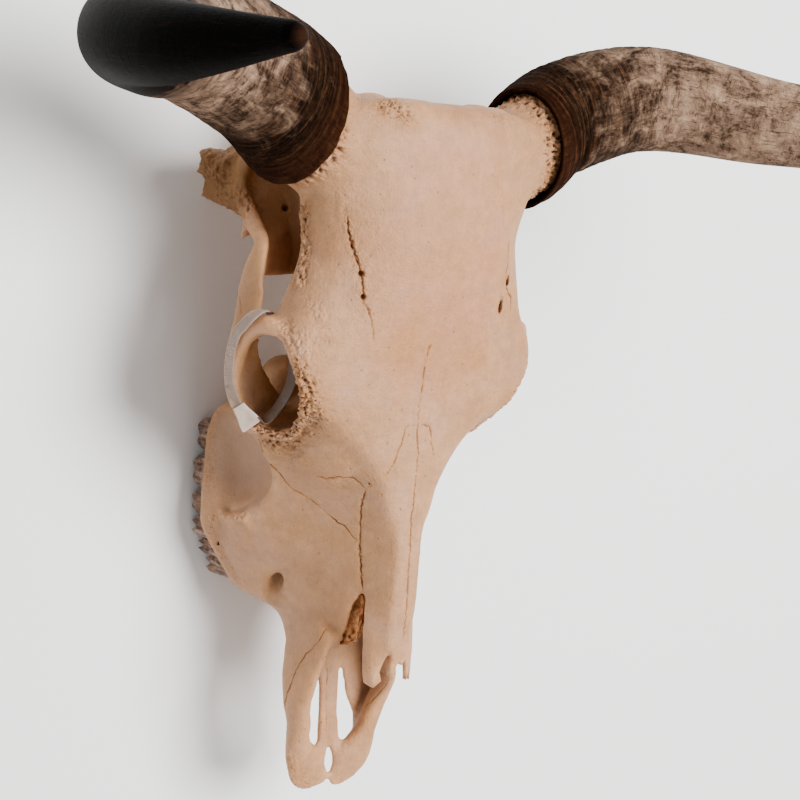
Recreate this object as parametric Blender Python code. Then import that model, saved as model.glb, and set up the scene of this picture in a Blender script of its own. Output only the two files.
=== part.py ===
"""A longhorn skull without its lower jaw: the bone with its horn cores, two horn sheaths,
twelve upper cheek teeth and a cable tie through the right eye socket.

The skull is drawn in millimetres in its own frame. x runs to the animal's left, y runs back
from the muzzle to the poll at y = 0, and z rises from the base to the forehead at z = 0.
It lies on its jugular processes and its cheek teeth, with the muzzle towards -Y.
"""

import math

import bmesh
import bpy
from mathutils import Vector

MM = 0.001

# The skull lies with its forehead's datum this far above the surface, and the middle of its
# length is the origin.
FOREHEAD_HEIGHT = 195.0
MIDDLE_Y = -232.0

# The bone is fused on this grid, then smoothed and reduced to flat facets.
FUSE_GRID = 2.6 * MM
SMOOTH_PASSES = 4
SKULL_SHARE = 0.0205

# Each horn's centre line from the base to the tip, written for the left side, with its
# outer radius, and how the sheath's rim leans along the horn: all round, towards the side
# that faces across, and towards the side that faces the muzzle or the nape.
HORN_LINES = {
    "left": [(106, -20, -30, 42.5), (144, 4, -29, 43.7), (209, 23, -6, 41.2), (281, 9, 67, 33.6),
             (331, 0, 138, 27), (353, -11, 217, 20.6), (342, -12, 296, 9.5)],
    "right": [(105, -16, -32, 49), (141, 5, -26, 46.4), (210, 21, 0, 42.4), (276, 9, 68, 34),
              (331, 0, 138, 27), (353, -11, 217, 20.6), (342, -12, 296, 9.5)],
}
RIM_LEAN = {"left": (-7.5, 6, 17.5), "right": (4.5, -5, 17.5)}
SHEATH_WALL = 4.5
CORE_CLEARANCE = 3.5
SHEATH_SIDES = 18
LEAN_FADES_BY = 0.16
CORE_ROOT = (66, -44, -31, 36)
# The core and the sheath's hollow end at these shares of the horn's length.
CORE_END = 0.52
HOLLOW_END = 0.60

SIDES = {"right": -1, "left": 1}

# Each tooth's name, length along the jaw, width across it, and outer x, from front to back.
TEETH = [
    ("p2", 15.0, 11.0, 60.5),
    ("p3", 13.0, 14.0, 68.0),
    ("p4", 17.0, 18.0, 75.0),
    ("m1", 20.0, 21.0, 77.0),
    ("m2", 27.0, 23.0, 77.5),
    ("m3", 27.5, 21.0, 74.5),
]
TOOTH_ROW_FRONT = -365.5
TOOTH_GAP = 1.0
TOOTH_ROOT_Z = -151.0
OCCLUSAL_Z = -195.0
SOCKET_GAP = 0.5
# A tooth longer than this is a molar, with two cusps on its outer side.
MOLAR_LENGTH = 18.0


def smooth_curve(points, per_span, closed=False):
    """A Catmull-Rom curve through the points, with per_span steps between each pair."""
    points = [Vector(p) for p in points]
    count = len(points)
    spans = count if closed else count - 1
    result = []
    for i in range(spans):
        if closed:
            a, b, c, d = (points[(i + k) % count] for k in (-1, 0, 1, 2))
        else:
            a, b, c, d = (points[min(max(i + k, 0), count - 1)] for k in (-1, 0, 1, 2))
        for step in range(per_span):
            t = step / per_span
            result.append(
                0.5 * (2 * b + (c - a) * t + (2 * a - 5 * b + 4 * c - d) * t**2
                       + (3 * b - a - 3 * c + d) * t**3)
            )
    if not closed:
        result.append(points[-1])
    return result


def loft_mesh(rings):
    """A closed bmesh through rings of equal length, capped at each end."""
    bm = bmesh.new()
    rows = [[bm.verts.new(Vector(p) * MM) for p in ring] for ring in rings]
    count = len(rows[0])
    for low, high in zip(rows, rows[1:]):
        for i in range(count):
            j = (i + 1) % count
            bm.faces.new((low[i], low[j], high[j], high[i]))
    caps = [bm.faces.new(rows[0]), bm.faces.new(rows[-1])]
    bmesh.ops.triangulate(bm, faces=caps)
    bmesh.ops.recalc_face_normals(bm, faces=bm.faces[:])
    return bm


def body_rings(stations, per_station=3, per_point=3):
    """Rings of a midline body. A station is (y at its top, y at its bottom, half outline)."""
    flat = []
    for top_y, bottom_y, half in stations:
        high, low = half[0][1], min(z for _, z in half)
        right = []
        for x, z in half:
            share = (high - z) / (high - low)
            right.append((x, top_y + (bottom_y - top_y) * share, z))
        left = [(-x, y, z) for x, y, z in right[-2:0:-1]]
        flat.append([c for p in smooth_curve(right + left, per_point, True) for c in p])
    return as_points(flat, per_station)


def as_points(flat, per_station):
    """Rings held as flat lists of numbers, smoothed along the body and split into points."""
    size = len(flat[0])
    columns = []
    for k in range(0, size, 3):
        columns.append(smooth_curve([row[k:k + 3] for row in flat], per_station))
    return [list(ring) for ring in zip(*columns)]


def bar_rings(path, around=14, per_point=4, side=1, up=(0, 0, 1)):
    """Oval rings along a path of (x, y, z, half thickness, half height, roll in degrees)."""
    steps = smooth_curve([p[:3] for p in path], per_point)
    sizes = smooth_curve([p[3:6] for p in path], per_point)
    rings = []
    for i, (centre, size) in enumerate(zip(steps, sizes)):
        along = (steps[min(i + 1, len(steps) - 1)] - steps[max(i - 1, 0)]).normalized()
        across = along.cross(Vector(up)).normalized()
        rise = across.cross(along)
        roll = math.radians(size[2])
        ring = []
        for k in range(around):
            angle = 2 * math.pi * k / around
            u = size[0] * math.cos(angle)
            v = size[1] * math.sin(angle)
            offset = across * (u * math.cos(roll) - v * math.sin(roll))
            offset += rise * (u * math.sin(roll) + v * math.cos(roll))
            point = centre + offset
            ring.append((point.x * side, point.y, point.z))
        rings.append(ring)
    return rings


def slab_mesh(stations, side, per_station=3):
    """A closed body through small outlines of (x, z) at each y."""
    flat = [[c for x, z in outline for c in (x * side, y, z)] for y, outline in stations]
    return loft_mesh(as_points(flat, per_station))


def mirrored_slab(stations):
    """A closed body across the midline through half outlines of (x, z) at each y."""
    whole = []
    for y, half in stations:
        whole.append((y, half + [(-x, z) for x, z in half[-2:0:-1]]))
    return slab_mesh(whole, 1)


def prism_mesh(outline, low, high):
    """A closed prism: an outline of (x, y) from one height to another."""
    return loft_mesh([[(x, y, z) for x, y in outline] for z in (low, high)])


def egg_mesh(centre, radii, side=1, segments=20):
    """A closed egg of three radii."""
    bm = bmesh.new()
    bmesh.ops.create_uvsphere(bm, u_segments=segments, v_segments=segments // 2, radius=1)
    for v in bm.verts:
        v.co = Vector((side * (centre[0] + v.co.x * radii[0]),
                       centre[1] + v.co.y * radii[1], centre[2] + v.co.z * radii[2])) * MM
    bmesh.ops.recalc_face_normals(bm, faces=bm.faces[:])
    return bm


def material(name, colour, roughness, metallic=0.0):
    made = bpy.data.materials.new(name)
    made.use_nodes = True
    shader = made.node_tree.nodes["Principled BSDF"]
    shader.inputs["Base Color"].default_value = (*colour, 1)
    shader.inputs["Roughness"].default_value = roughness
    shader.inputs["Metallic"].default_value = metallic
    return made


def new_object(name, bm, frame, look=None):
    """A bmesh as an object on the skull's frame. Without a look it is a hidden cutter."""
    mesh = bpy.data.meshes.new(name)
    bm.to_mesh(mesh)
    bm.free()
    obj = bpy.data.objects.new(name, mesh)
    bpy.context.scene.collection.objects.link(obj)
    obj.parent = frame
    if look:
        mesh.materials.append(look)
        mesh.shade_smooth()
        mesh.set_sharp_from_angle(angle=math.radians(40))
    else:
        obj.hide_render = True
        obj.display_type = "WIRE"
    return obj


def joined(meshes):
    """Several closed bmeshes as one, still overlapping."""
    whole = bmesh.new()
    for bm in meshes:
        mesh = bpy.data.meshes.new("joining")
        bm.to_mesh(mesh)
        bm.free()
        whole.from_mesh(mesh)
        bpy.data.meshes.remove(mesh)
    return whole


def cut(obj, cutter):
    modifier = obj.modifiers.new(cutter.name, "BOOLEAN")
    modifier.operation = "DIFFERENCE"
    modifier.object = cutter


# The bone's midline body, from the nape to the front of the nasal floor. Each half outline
# runs from the top of the midline, out over the edge of the forehead, in along the side
# wall and out again to the base or the tooth row, and back to the midline below.
CRANIUM = [
    (0, -22, [(0, 0), (30, 2), (56, -2), (74, -12), (78, -26), (72, -42), (66, -60), (64, -78),
              (66, -96), (66, -112), (56, -124), (40, -126), (20, -122), (0, -119)]),
    (-6, -28, [(0, 11), (34, 12), (62, 7), (90, -2), (104, -20), (96, -44), (80, -62), (76, -82),
               (80, -102), (82, -122), (70, -138), (48, -142), (24, -140), (0, -136)]),
    (-22, -40, [(0, 18), (36, 15), (66, 10), (94, 2), (110, -18), (103, -46), (80, -64),
                (70, -84), (70, -104), (70, -124), (60, -140), (42, -144), (22, -140), (0, -136)]),
    (-55, -60, [(0, 17), (38, 14), (68, 5), (90, -5), (100, -25), (95, -44), (74, -54), (60, -70),
                (56, -90), (56, -112), (52, -130), (40, -138), (22, -136), (0, -132)]),
    (-92, -92, [(0, 16), (38, 13), (66, 2), (84, -11), (93, -28), (89, -41), (68, -50), (56, -66),
                (52, -86), (50, -106), (44, -122), (32, -130), (18, -130), (0, -128)]),
    (-122, -120, [(0, 12), (40, 9), (68, 0), (87, -11), (97, -28), (93, -42), (66, -48),
                  (50, -60), (46, -78), (43, -96), (36, -110), (24, -120), (12, -124), (0, -125)]),
    (-148, -145, [(0, 6), (42, 4), (76, -5), (96, -15), (106, -30), (104, -43), (76, -48),
                  (48, -58), (42, -74), (38, -92), (32, -108), (22, -120), (11, -126), (0, -128)]),
    (-167, -165, [(0, 1), (44, 0), (80, -6), (103, -13), (113, -26), (110, -38), (80, -46),
                  (48, -56), (40, -72), (36, -90), (30, -108), (22, -122), (11, -130), (0, -132)]),
    (-186, -184, [(0, -4), (44, -5), (80, -8), (100, -11), (108, -16), (98, -26), (72, -38),
                  (48, -52), (40, -70), (36, -90), (32, -110), (24, -126), (12, -134), (0, -134)]),
    (-204, -202, [(0, -8), (44, -9), (76, -11), (94, -13), (101, -18), (92, -28), (68, -38),
                  (48, -52), (42, -72), (40, -94), (38, -116), (32, -136), (20, -140), (0, -134)]),
    (-220, -218, [(0, -9), (40, -11), (66, -14), (84, -19), (93, -30), (84, -42), (68, -52),
                  (58, -68), (60, -90), (62, -114), (60, -140), (46, -152), (34, -146), (0, -134)]),
    (-232, -230, [(0, -10), (34, -12), (50, -16), (63, -21), (76, -33), (88, -51), (96, -72),
                  (95, -94), (86, -112), (78, -134), (76, -158), (49, -161), (38, -148), (0, -134)]),
    (-250, -248, [(0, -11), (24, -13), (37, -16), (46, -23), (60, -42), (74, -62), (86, -80),
                  (84, -93), (79, -107), (76, -124), (80, -166), (48, -167), (40, -144), (0, -134)]),
    (-275, -273, [(0, -12), (18, -14), (26, -18), (36, -32), (48, -51), (60, -69), (71, -86),
                  (72, -96), (71, -110), (71, -128), (81.5, -168), (48, -168), (41, -142), (0, -134)]),
    (-291, -289, [(0, -12), (14, -14), (21, -18), (31, -34), (45, -56), (58, -76), (71, -96),
                  (74, -106), (73, -118), (73, -134), (82, -168), (48, -168), (41, -141), (0, -132)]),
    (-306, -305, [(0, -13), (10, -14), (16, -19), (26, -36), (41, -60), (56, -84), (70, -104),
                  (82, -119), (85, -128), (81, -142), (82, -168), (48, -168), (41, -140), (0, -131)]),
    (-323, -322, [(0, -13), (10, -14), (15, -20), (25, -37), (38, -59), (52, -82), (65, -104),
                  (75, -120), (78, -131), (76.5, -144), (81.5, -168), (47, -168), (40, -139), (0, -128)]),
    (-340, -338, [(0, -14), (10, -15), (15, -21), (24, -37), (36, -59), (47, -81), (57, -102),
                  (66, -122), (72, -137), (73, -149), (75, -162), (44, -162), (38, -138), (0, -125)]),
    (-357, -356, [(0, -15), (10, -16), (15, -23), (23, -40), (34, -61), (44, -83), (53, -104),
                  (60, -119), (64, -131), (65, -144), (65, -158), (41, -160), (34, -134), (0, -121)]),
    (-370, -369, [(0, -16), (10, -17), (15, -24), (22, -42), (32, -62), (41, -84), (49, -102),
                  (56, -115), (59, -127), (59, -139), (57, -150), (38, -148), (28, -124), (0, -117)]),
    (-383, -383, [(0, -18), (10, -19), (15, -28), (21, -46), (29, -66), (36, -84), (41, -97),
                  (44, -106), (43, -114), (40, -120), (33, -121), (25, -118), (18, -115), (0, -114)]),
    (-402, -402, [(0, -20), (10, -21), (15, -31), (20, -50), (27, -69), (33, -84), (37, -96),
                  (39, -104), (38, -110), (35, -113), (30, -113), (23, -112), (17, -111), (0, -110)]),
]

# The floor of the temple behind y = -127, and the floor of the eye socket, as closed
# outlines of (x, z) at each y.
TEMPLE_FLOOR = [
    (-24, [(36, -92), (62, -98), (80, -112), (86, -128), (66, -138), (40, -130)]),
    (-42, [(36, -92), (66, -104), (86, -118), (92, -146), (66, -146), (40, -134)]),
    (-58, [(36, -90), (66, -106), (90, -122), (97, -162), (70, -150), (40, -134)]),
    (-72, [(36, -88), (64, -104), (91, -118), (90, -174), (68, -152), (40, -132)]),
    (-80, [(36, -86), (62, -102), (91, -112), (88, -142), (66, -144), (40, -131)]),
    (-89, [(36, -84), (62, -98), (92, -100), (87, -113), (66, -132), (40, -130)]),
    (-103, [(36, -80), (62, -93), (104, -66), (101, -78), (74, -108), (40, -124)]),
    (-118, [(36, -82), (60, -94), (107, -61), (104, -74), (72, -103), (40, -118)]),
    (-127, [(38, -88), (60, -97), (106, -62), (104, -69), (72, -99), (40, -112)]),
]
SOCKET_FLOOR = [
    (-142, [(114, -57), (110, -60), (113, -76), (116, -76)]),
    (-158, [(117, -58), (108, -60), (112, -74), (120, -76)]),
    (-172, [(120, -62), (104, -66), (106, -72), (122, -76)]),
    (-187, [(121, -68), (97, -71), (98, -78), (121, -79)]),
    (-200, [(120, -70), (88, -74), (88, -82), (119, -82)]),
    (-214, [(116, -72), (74, -77), (74, -88), (112, -90)]),
    (-228, [(108, -72), (62, -82), (62, -100), (102, -98)]),
    (-242, [(92, -70), (62, -84), (64, -104), (92, -100)]),
]

# Rounded swellings on both sides as (centre, radii): the condyles of the nape, the ends of the
# poll and the bone behind the tooth row; and the one knob left of the middle of the poll.
SWELLINGS = [((28, -13, -131), (17, 23, 22)), ((56, -9, -14), (20, 12, 12)), ((53, -211, -106), (22, 26, 20))]
POLL_KNOB = ((31, -11, -4), (25, 14, 13))

# The hollow of the nose, cut from the front back to the eye sockets.
NOSE_HOLLOW = [
    (-262, -262, [(0, -30), (14, -32), (22, -42), (30, -66), (32, -96), (20, -116), (0, -122)]),
    (-300, -300, [(0, -21), (12, -24), (22, -40), (34, -66), (42, -94), (36, -116), (0, -124)]),
    (-345, -345, [(0, -20), (11, -22), (18, -38), (29, -62), (38, -90), (34, -110), (0, -117)]),
    (-386, -386, [(0, -22), (9, -24), (14, -36), (20, -56), (28, -78), (30, -98), (0, -106)]),
    (-415, -415, [(0, -25), (8, -27), (12, -38), (17, -60), (23, -80), (26, -96), (0, -101)]),
]

# The notch on each side of the nose, between the nasal bones and the premaxillae, as (y, z).
NOSE_NOTCH = [(-352, -38), (-389, -38), (-420, -40), (-460, -40), (-460, -92), (-446, -83),
              (-428, -72), (-411, -66), (-394, -60), (-382, -54), (-366, -48)]

# The thin front of the nasal bones as a half outline of (x, z) at each y, and the ragged
# front edge they are trimmed to, as (x, y) from right to left.
NASAL_PLATE = [
    (-350, [(0, -17), (10, -19), (14, -24), (18, -32), (16, -34), (12, -29), (8, -24), (0, -21)]),
    (-366, [(0, -17), (11, -20), (17, -26), (21, -34), (19, -36), (15, -30), (9, -24), (0, -21)]),
    (-382, [(0, -18), (12, -21), (19, -28), (23.5, -35), (21, -37), (16, -31), (10, -24), (0, -22)]),
    (-400, [(0, -20), (12, -23), (19, -27), (23.5, -34), (20.5, -36), (16, -30), (10, -26), (0, -24)]),
    (-432, [(0, -23), (11, -26), (19, -29), (23.5, -35), (20.5, -37), (15, -32), (9, -29), (0, -27)]),
]
NASAL_EDGE = [(-30, -380), (-24, -402), (-20, -421), (-16, -424), (-11, -419), (-13, -412), (-10, -399),
              (-6, -398), (-5.5, -408), (-5, -416), (-2, -411), (2, -405), (6, -409), (9, -404),
              (11, -412), (14, -422), (17, -417), (19.5, -409), (21, -423), (23, -425), (26, -408),
              (30, -395), (40, -380)]

# The rim of the eye socket, a closed path of (x, y, z, half thickness) round the opening.
ORBIT_RIM = [(111, -165, -27, 4.5), (115, -160, -36, 7), (119, -161, -47, 7), (121, -170, -58, 5.5),
             (122, -183, -67, 4.5), (122, -199, -71, 4.5), (115, -219, -73, 4.5),
             (105, -231, -71, 4.5), (94, -238, -65, 4.5), (85, -237, -51, 4.5), (88, -224, -33, 4),
             (94, -213, -23, 4), (98, -204, -19, 4), (102, -194, -18, 4), (105, -184, -20, 4),
             (108, -173, -23, 4.5)]
POST_BAR = [(93, -147, -28, 7, 7, 0), (103, -155, -36, 6, 6, 0), (111, -159, -44, 6, 7, 0),
            (117, -166, -56, 5.5, 6, 0)]

# The zygomatic arch, from the back of the eye socket to the crest over the ear.
CHEEK_ARCH = [(118, -196, -76, 4, 8, 0), (118, -178, -72, 4, 11, 6), (116, -160, -68, 4, 12, 10),
              (113, -145, -67, 4, 13, 14), (112, -130, -67, 4, 11, 14), (110, -116, -65, 4, 9, 14),
              (106, -104, -66, 4.5, 6, 10), (100, -97, -80, 5, 6, 0), (93, -89, -98, 5, 7, 0),
              (89, -78, -114, 5, 7, 0), (88, -66, -122, 5, 8, 0), (88, -54, -122, 5, 8, 0),
              (86, -42, -116, 5, 8, 0), (80, -32, -104, 6, 8, 0)]

# The upper jaw's front bone, from beside the nasal bones to the muzzle. Its two sides are
# alike as far as the rows given here, and differ from there on.
PREMAXILLA = [(31, -384, -74, 16, 4.5, 76), (35, -402, -85, 22, 5, 78), (38, -419, -87, 20, 6, 80),
              (41, -433, -86, 17, 6.5, 78), (40, -448, -88.5, 12, 7.5, 70), (37, -458, -90.5, 10, 8, 60),
              (34.5, -467, -92, 9.5, 8, 40), (33, -477, -95, 9.5, 8, 20)]
MUZZLE = {
    "right": [(27.5, -492, -99, 13, 7.5, 0), (20.5, -501, -102, 17.5, 6, 0), (16, -507.5, -103, 17, 5.5, 0),
              (12, -513, -104, 15.5, 4.8, 0), (9, -518, -104, 14, 4, 0), (7.5, -523, -104, 11.5, 3.4, 0)],
    "left": [(30.5, -488, -98, 12.5, 7.5, 0), (25, -502, -101, 16, 6.5, 0), (21.5, -510, -103, 14, 5.5, 0),
             (17.5, -516, -104, 12, 4.8, 0), (14.5, -522, -104, 8.5, 3.4, 0), (13.5, -527, -104, 6, 2.8, 0)],
}
PALATE_BAR = {
    "right": [(6, -396, -108, 7, 3, 0), (4, -424, -106, 6, 2.8, 0), (3, -455, -105, 5, 2.8, 0),
              (3, -484, -104, 5, 3, 0), (5, -501, -103, 6, 3.4, 0), (6, -512, -104, 6, 3, 0)],
    "left": [(6, -396, -108, 7, 3, 0), (6, -424, -106, 6, 2.8, 0), (5.8, -455, -105, 5.4, 2.8, 0),
             (8, -484, -104, 5.6, 3, 0), (12, -500, -103, 5.4, 3.4, 0), (14, -512, -104, 6, 3, 0)],
}
PALATE_SHELF = {
    "right": [(26, -402, -109, 9, 3, 0), (24, -424, -108, 10, 3, 0), (21, -440, -107, 9.5, 3.5, 0),
              (22, -460, -106, 8.5, 4, 0), (22.5, -476, -105, 8.5, 4, 0), (23, -492, -104, 8.5, 4, 0)],
    "left": [(26, -402, -109, 9, 3, 0), (25, -424, -108, 10, 3, 0), (29, -440, -107, 11, 3.5, 0),
             (32, -452, -106, 10, 4, 0), (34, -468, -105, 8, 4, 0), (34, -482, -104, 7, 4, 0)],
}
PALATE_FRONT = [
    (-394, [(0, -106), (20, -106), (34, -104), (38, -110), (20, -114), (0, -113)]),
    (-412, [(0, -105), (20, -105), (34, -104), (37, -109), (20, -112), (0, -111)]),
    (-430, [(0, -105), (18, -105), (33, -104), (36, -108), (18, -110), (0, -109)]),
]

# Processes below and behind the braincase.
JUGULAR = [(62, -36, -128, 13, 12, 0), (66, -50, -156, 10, 8, 0), (67, -62, -176, 8, 5, 0),
           (66, -70, -194.2, 4.5, 4, 0)]
EAR_TUBE = [(74, -52, -130, 13, 13, 0), (87, -49, -146, 12, 12, 0), (97, -47, -158, 10.5, 11, 0),
            (101, -46, -164, 6.5, 7, 0)]
EAR_HOLE = [(82, -52, -142, 4, 4, 0), (92, -49, -150, 5.5, 5.5, 0), (106, -46, -164, 7, 7, 0)]
EAR_BULLA = [(48, -84, -140, 11, 12, 0), (50, -92, -152, 7, 8, 0), (50, -98, -162, 2.5, 3, 0)]
EAR_SPUR = [(84, -90, -110, 5, 5, 0), (91, -96, -108, 4.5, 4.5, 0), (95, -101, -106, 2.5, 2.5, 0)]
PTERYGOID = [(23, -150, -122, 3, 6, 0), (24, -172, -128, 2.8, 7, 0), (25, -190, -136, 2.8, 9, 0),
             (28, -206, -146, 3, 13, 0), (35, -228, -146, 3, 12, 0)]
PTERYGOID_HOOK = [(27, -207, -154, 2.5, 6, 0), (26, -203, -166, 2, 3, 0), (25, -200, -176, 1.5, 2, 0)]

# The eye socket's hollow: the rim's opening pushed in sideways, as (how far, how large).
SOCKET_DEPTHS = [(-30, 1.0), (0, 1.0), (14, 1.0), (32, 0.9), (48, 0.7), (58, 0.35)]
SOCKET_WAY = (-0.97, 0.0, -0.22)

# Pits and passages cut after the bone is fused: (centre, radii).
SUPRAORBITAL_PITS = [((68, -122, -4), (2.6, 4.5, 9)), ((62, -141, -3), (3, 6, 9))]
TEMPLE_RECESS = [(51, -103, -103, 6, 8, 0), (51, -116, -104, 8, 9, 0), (51, -134, -105, 8.5, 10, 0)]
CHEEK_FORAMEN = [(46, -344, -102, 4.5, 5, 0), (53, -358, -105, 5.5, 7, 0), (58, -368, -107, 5.5, 8.5, 0),
                 (65, -382, -110, 5, 8, 0)]
NAPE_HOLE = [(0, 30, -112, 21, 19, 0), (0, -10, -114, 20, 18, 0), (0, -44, -100, 22, 20, 0),
             (0, -84, -84, 20, 22, 0), (0, -104, -78, 10, 12, 0)]
THROAT = [(0, -186, -154, 16, 10, 0), (0, -208, -144, 17, 14, 0), (0, -240, -118, 16, 12, 0),
          (0, -275, -100, 14, 14, 0)]

# The cable tie: its flat strap's centre line round the side of the right eye socket, with
# the direction of the strap's width, both written for the left side.
TIE_LOOP = [
    (127, -154.8, -44.5, 0.05, 0.6, -0.9), (128.6, -160, -49.5, 0.25, 0.6, -0.8),
    (129.4, -166.4, -56.8, 0.2, 0.4, -1.0), (129.4, -178.7, -63.2, 0.32, 0.1, -1.0),
    (128.2, -193, -66.6, 0.33, -0.07, -1.0), (125.4, -205, -68.4, 0.35, -0.27, -1.0),
    (121.6, -214.3, -68.2, 0.5, -0.5, -0.75), (117, -221, -67.2, 0.72, -0.56, -0.41),
    (110.5, -226.5, -64.5, 0.6, -0.4, -0.6), (101.5, -228.5, -60.5, 0.4, 0, -0.8),
    (96, -222.8, -57, 0.2, 0.4, -1.0), (91.7, -215.3, -54, 0.25, 0.4, -1.0),
    (88.3, -206.5, -51, 0.35, 0.3, -1.05), (86, -197.3, -50, 0.42, 0.09, -1.04),
    (85.8, -188, -50, 0.43, -0.1, -1.04), (85.9, -179, -52, 0.45, -0.3, -1.0),
    (88, -170, -55, 0.45, -0.45, -0.9), (95, -160, -57, 0.6, -0.3, -0.7),
    (104, -152.5, -54, 0.5, 0.2, -0.8), (113, -150, -47.5, 0.3, 0.1, -0.9),
    (121.6, -150.6, -42.8, 0.15, 0.15, -1.0),
]
TIE_WIDTH = 8.0
TIE_THICKNESS = 1.3
TIE_HEAD = [(119, -218, -67, 4.4, 1.8), (115, -223, -66.1, 5.4, 2.6), (111.3, -228.4, -64.8, 7.2, 2.8),
            (109.1, -232, -63.8, 7.8, 2.2)]
TIE_HEAD_ACROSS = (0.72, -0.6, -0.35)


def horn_length_shares(points):
    """The share of the whole length at each point."""
    lengths = [0.0]
    for a, b in zip(points, points[1:]):
        lengths.append(lengths[-1] + (b - a).length)
    return [length / lengths[-1] for length in lengths]


def horn_path(word, end, shrink, per_point=6):
    """The horn's line up to a share of its length, with its radius made smaller by shrink."""
    centres = smooth_curve([p[:3] for p in HORN_LINES[word]], per_point)
    radii = smooth_curve([(p[3], 0, 0) for p in HORN_LINES[word]], per_point)
    path = []
    for centre, radius, share in zip(centres, radii, horn_length_shares(centres)):
        if share > end:
            break
        path.append((centre, radius.x - shrink, share))
    return path


def horn_rings(path, around, word):
    """Round rings square to the horn's line, leaning with the rim near the base."""
    side = SIDES[word]
    lean = RIM_LEAN[word]
    rings = []
    points = [p[0] for p in path]
    for i, (centre, radius, share) in enumerate(path):
        along = (points[min(i + 1, len(points) - 1)] - points[max(i - 1, 0)]).normalized()
        across = along.cross(Vector((0, 1, 0))).normalized()
        rise = across.cross(along)
        fade = max(0.0, 1 - share / LEAN_FADES_BY)
        ring = []
        for k in range(around):
            angle = 2 * math.pi * k / around
            point = centre + radius * (across * math.cos(angle) + rise * math.sin(angle))
            push = lean[0] + lean[1] * math.cos(angle) + lean[2] * math.sin(angle)
            point += along * push * fade
            ring.append((point.x * side, point.y, point.z))
        rings.append(ring)
    return rings


def horn_core(word):
    """The bony core: it starts inside the temple and ends in a blunt point in the sheath."""
    path = horn_path(word, CORE_END, SHEATH_WALL + CORE_CLEARANCE)
    last, radius, share = path[-1]
    along = (last - path[-2][0]).normalized()
    path.append((last + along * radius * 0.5, radius * 0.75, share))
    path.append((last + along * radius * 0.8, 3.0, share))
    root = (Vector(CORE_ROOT[:3]), CORE_ROOT[3], 1.0)
    return loft_mesh(horn_rings([root] + path, 28, word))


def sheath(word, frame, look):
    """A horn sheath: a thin cone, open at its base, closed and solid towards the tip."""
    outer = horn_path(word, 1.0, 0.0, 3)
    tip, radius, share = outer[-1]
    along = (tip - outer[-2][0]).normalized()
    outer.append((tip + along * radius * 0.6, radius * 0.8, share))
    outer.append((tip + along * radius * 0.95, radius * 0.4, share))
    inner = horn_path(word, HOLLOW_END, SHEATH_WALL, 3)
    last = inner[-1]
    inner.append((last[0] + (last[0] - inner[-2][0]) * 0.6, last[1] * 0.4, last[2]))
    rings = horn_rings(inner, SHEATH_SIDES, word)[::-1] + horn_rings(outer, SHEATH_SIDES, word)
    return new_object(f"horn_sheath_{word}", loft_mesh(rings), frame, look)


def bone_forms():
    """All the overlapping closed forms that are fused into the bone."""
    forms = []
    for word, side in SIDES.items():
        rim = [(x, y, z, r, r, 0) for x, y, z, r in ORBIT_RIM + ORBIT_RIM[:2]]
        for path in (rim, CHEEK_ARCH, PREMAXILLA + MUZZLE[word], PALATE_BAR[word],
                     PALATE_SHELF[word], PTERYGOID, PTERYGOID_HOOK, POST_BAR):
            forms.append(loft_mesh(bar_rings(path, side=side)))
        for stations in (TEMPLE_FLOOR, SOCKET_FLOOR):
            forms.append(slab_mesh(stations, side))
        for path in (JUGULAR, EAR_TUBE, EAR_BULLA, EAR_SPUR):
            forms.append(loft_mesh(bar_rings(path, side=side, up=(0, 1, 0))))
        forms.append(horn_core(word))
        for centre, radii in SWELLINGS:
            forms.append(egg_mesh(centre, radii, side))
    forms.append(egg_mesh(*POLL_KNOB))
    forms.append(mirrored_slab(NASAL_PLATE))
    forms.append(mirrored_slab(PALATE_FRONT))
    return forms


def socket_hollow(side):
    """The eye socket's cutter, from outside the rim to the inner wall."""
    rim = smooth_curve([p[:3] for p in ORBIT_RIM], 2, True)
    thick = smooth_curve([(p[3], 0, 0) for p in ORBIT_RIM], 2, True)
    middle = sum(rim, Vector()) / len(rim)
    opening = [p + (middle - p).normalized() * (r.x - 0.5) for p, r in zip(rim, thick)]
    rings = []
    for far, large in SOCKET_DEPTHS:
        centre = middle + Vector(SOCKET_WAY) * far
        ring = [centre + (p - middle) * large for p in opening]
        rings.append([(p.x * side, p.y, p.z) for p in ring])
    return loft_mesh(rings)


def remesh(obj, name):
    modifier = obj.modifiers.new(name, "REMESH")
    modifier.mode = "VOXEL"
    modifier.voxel_size = FUSE_GRID
    modifier.use_smooth_shade = True


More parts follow.
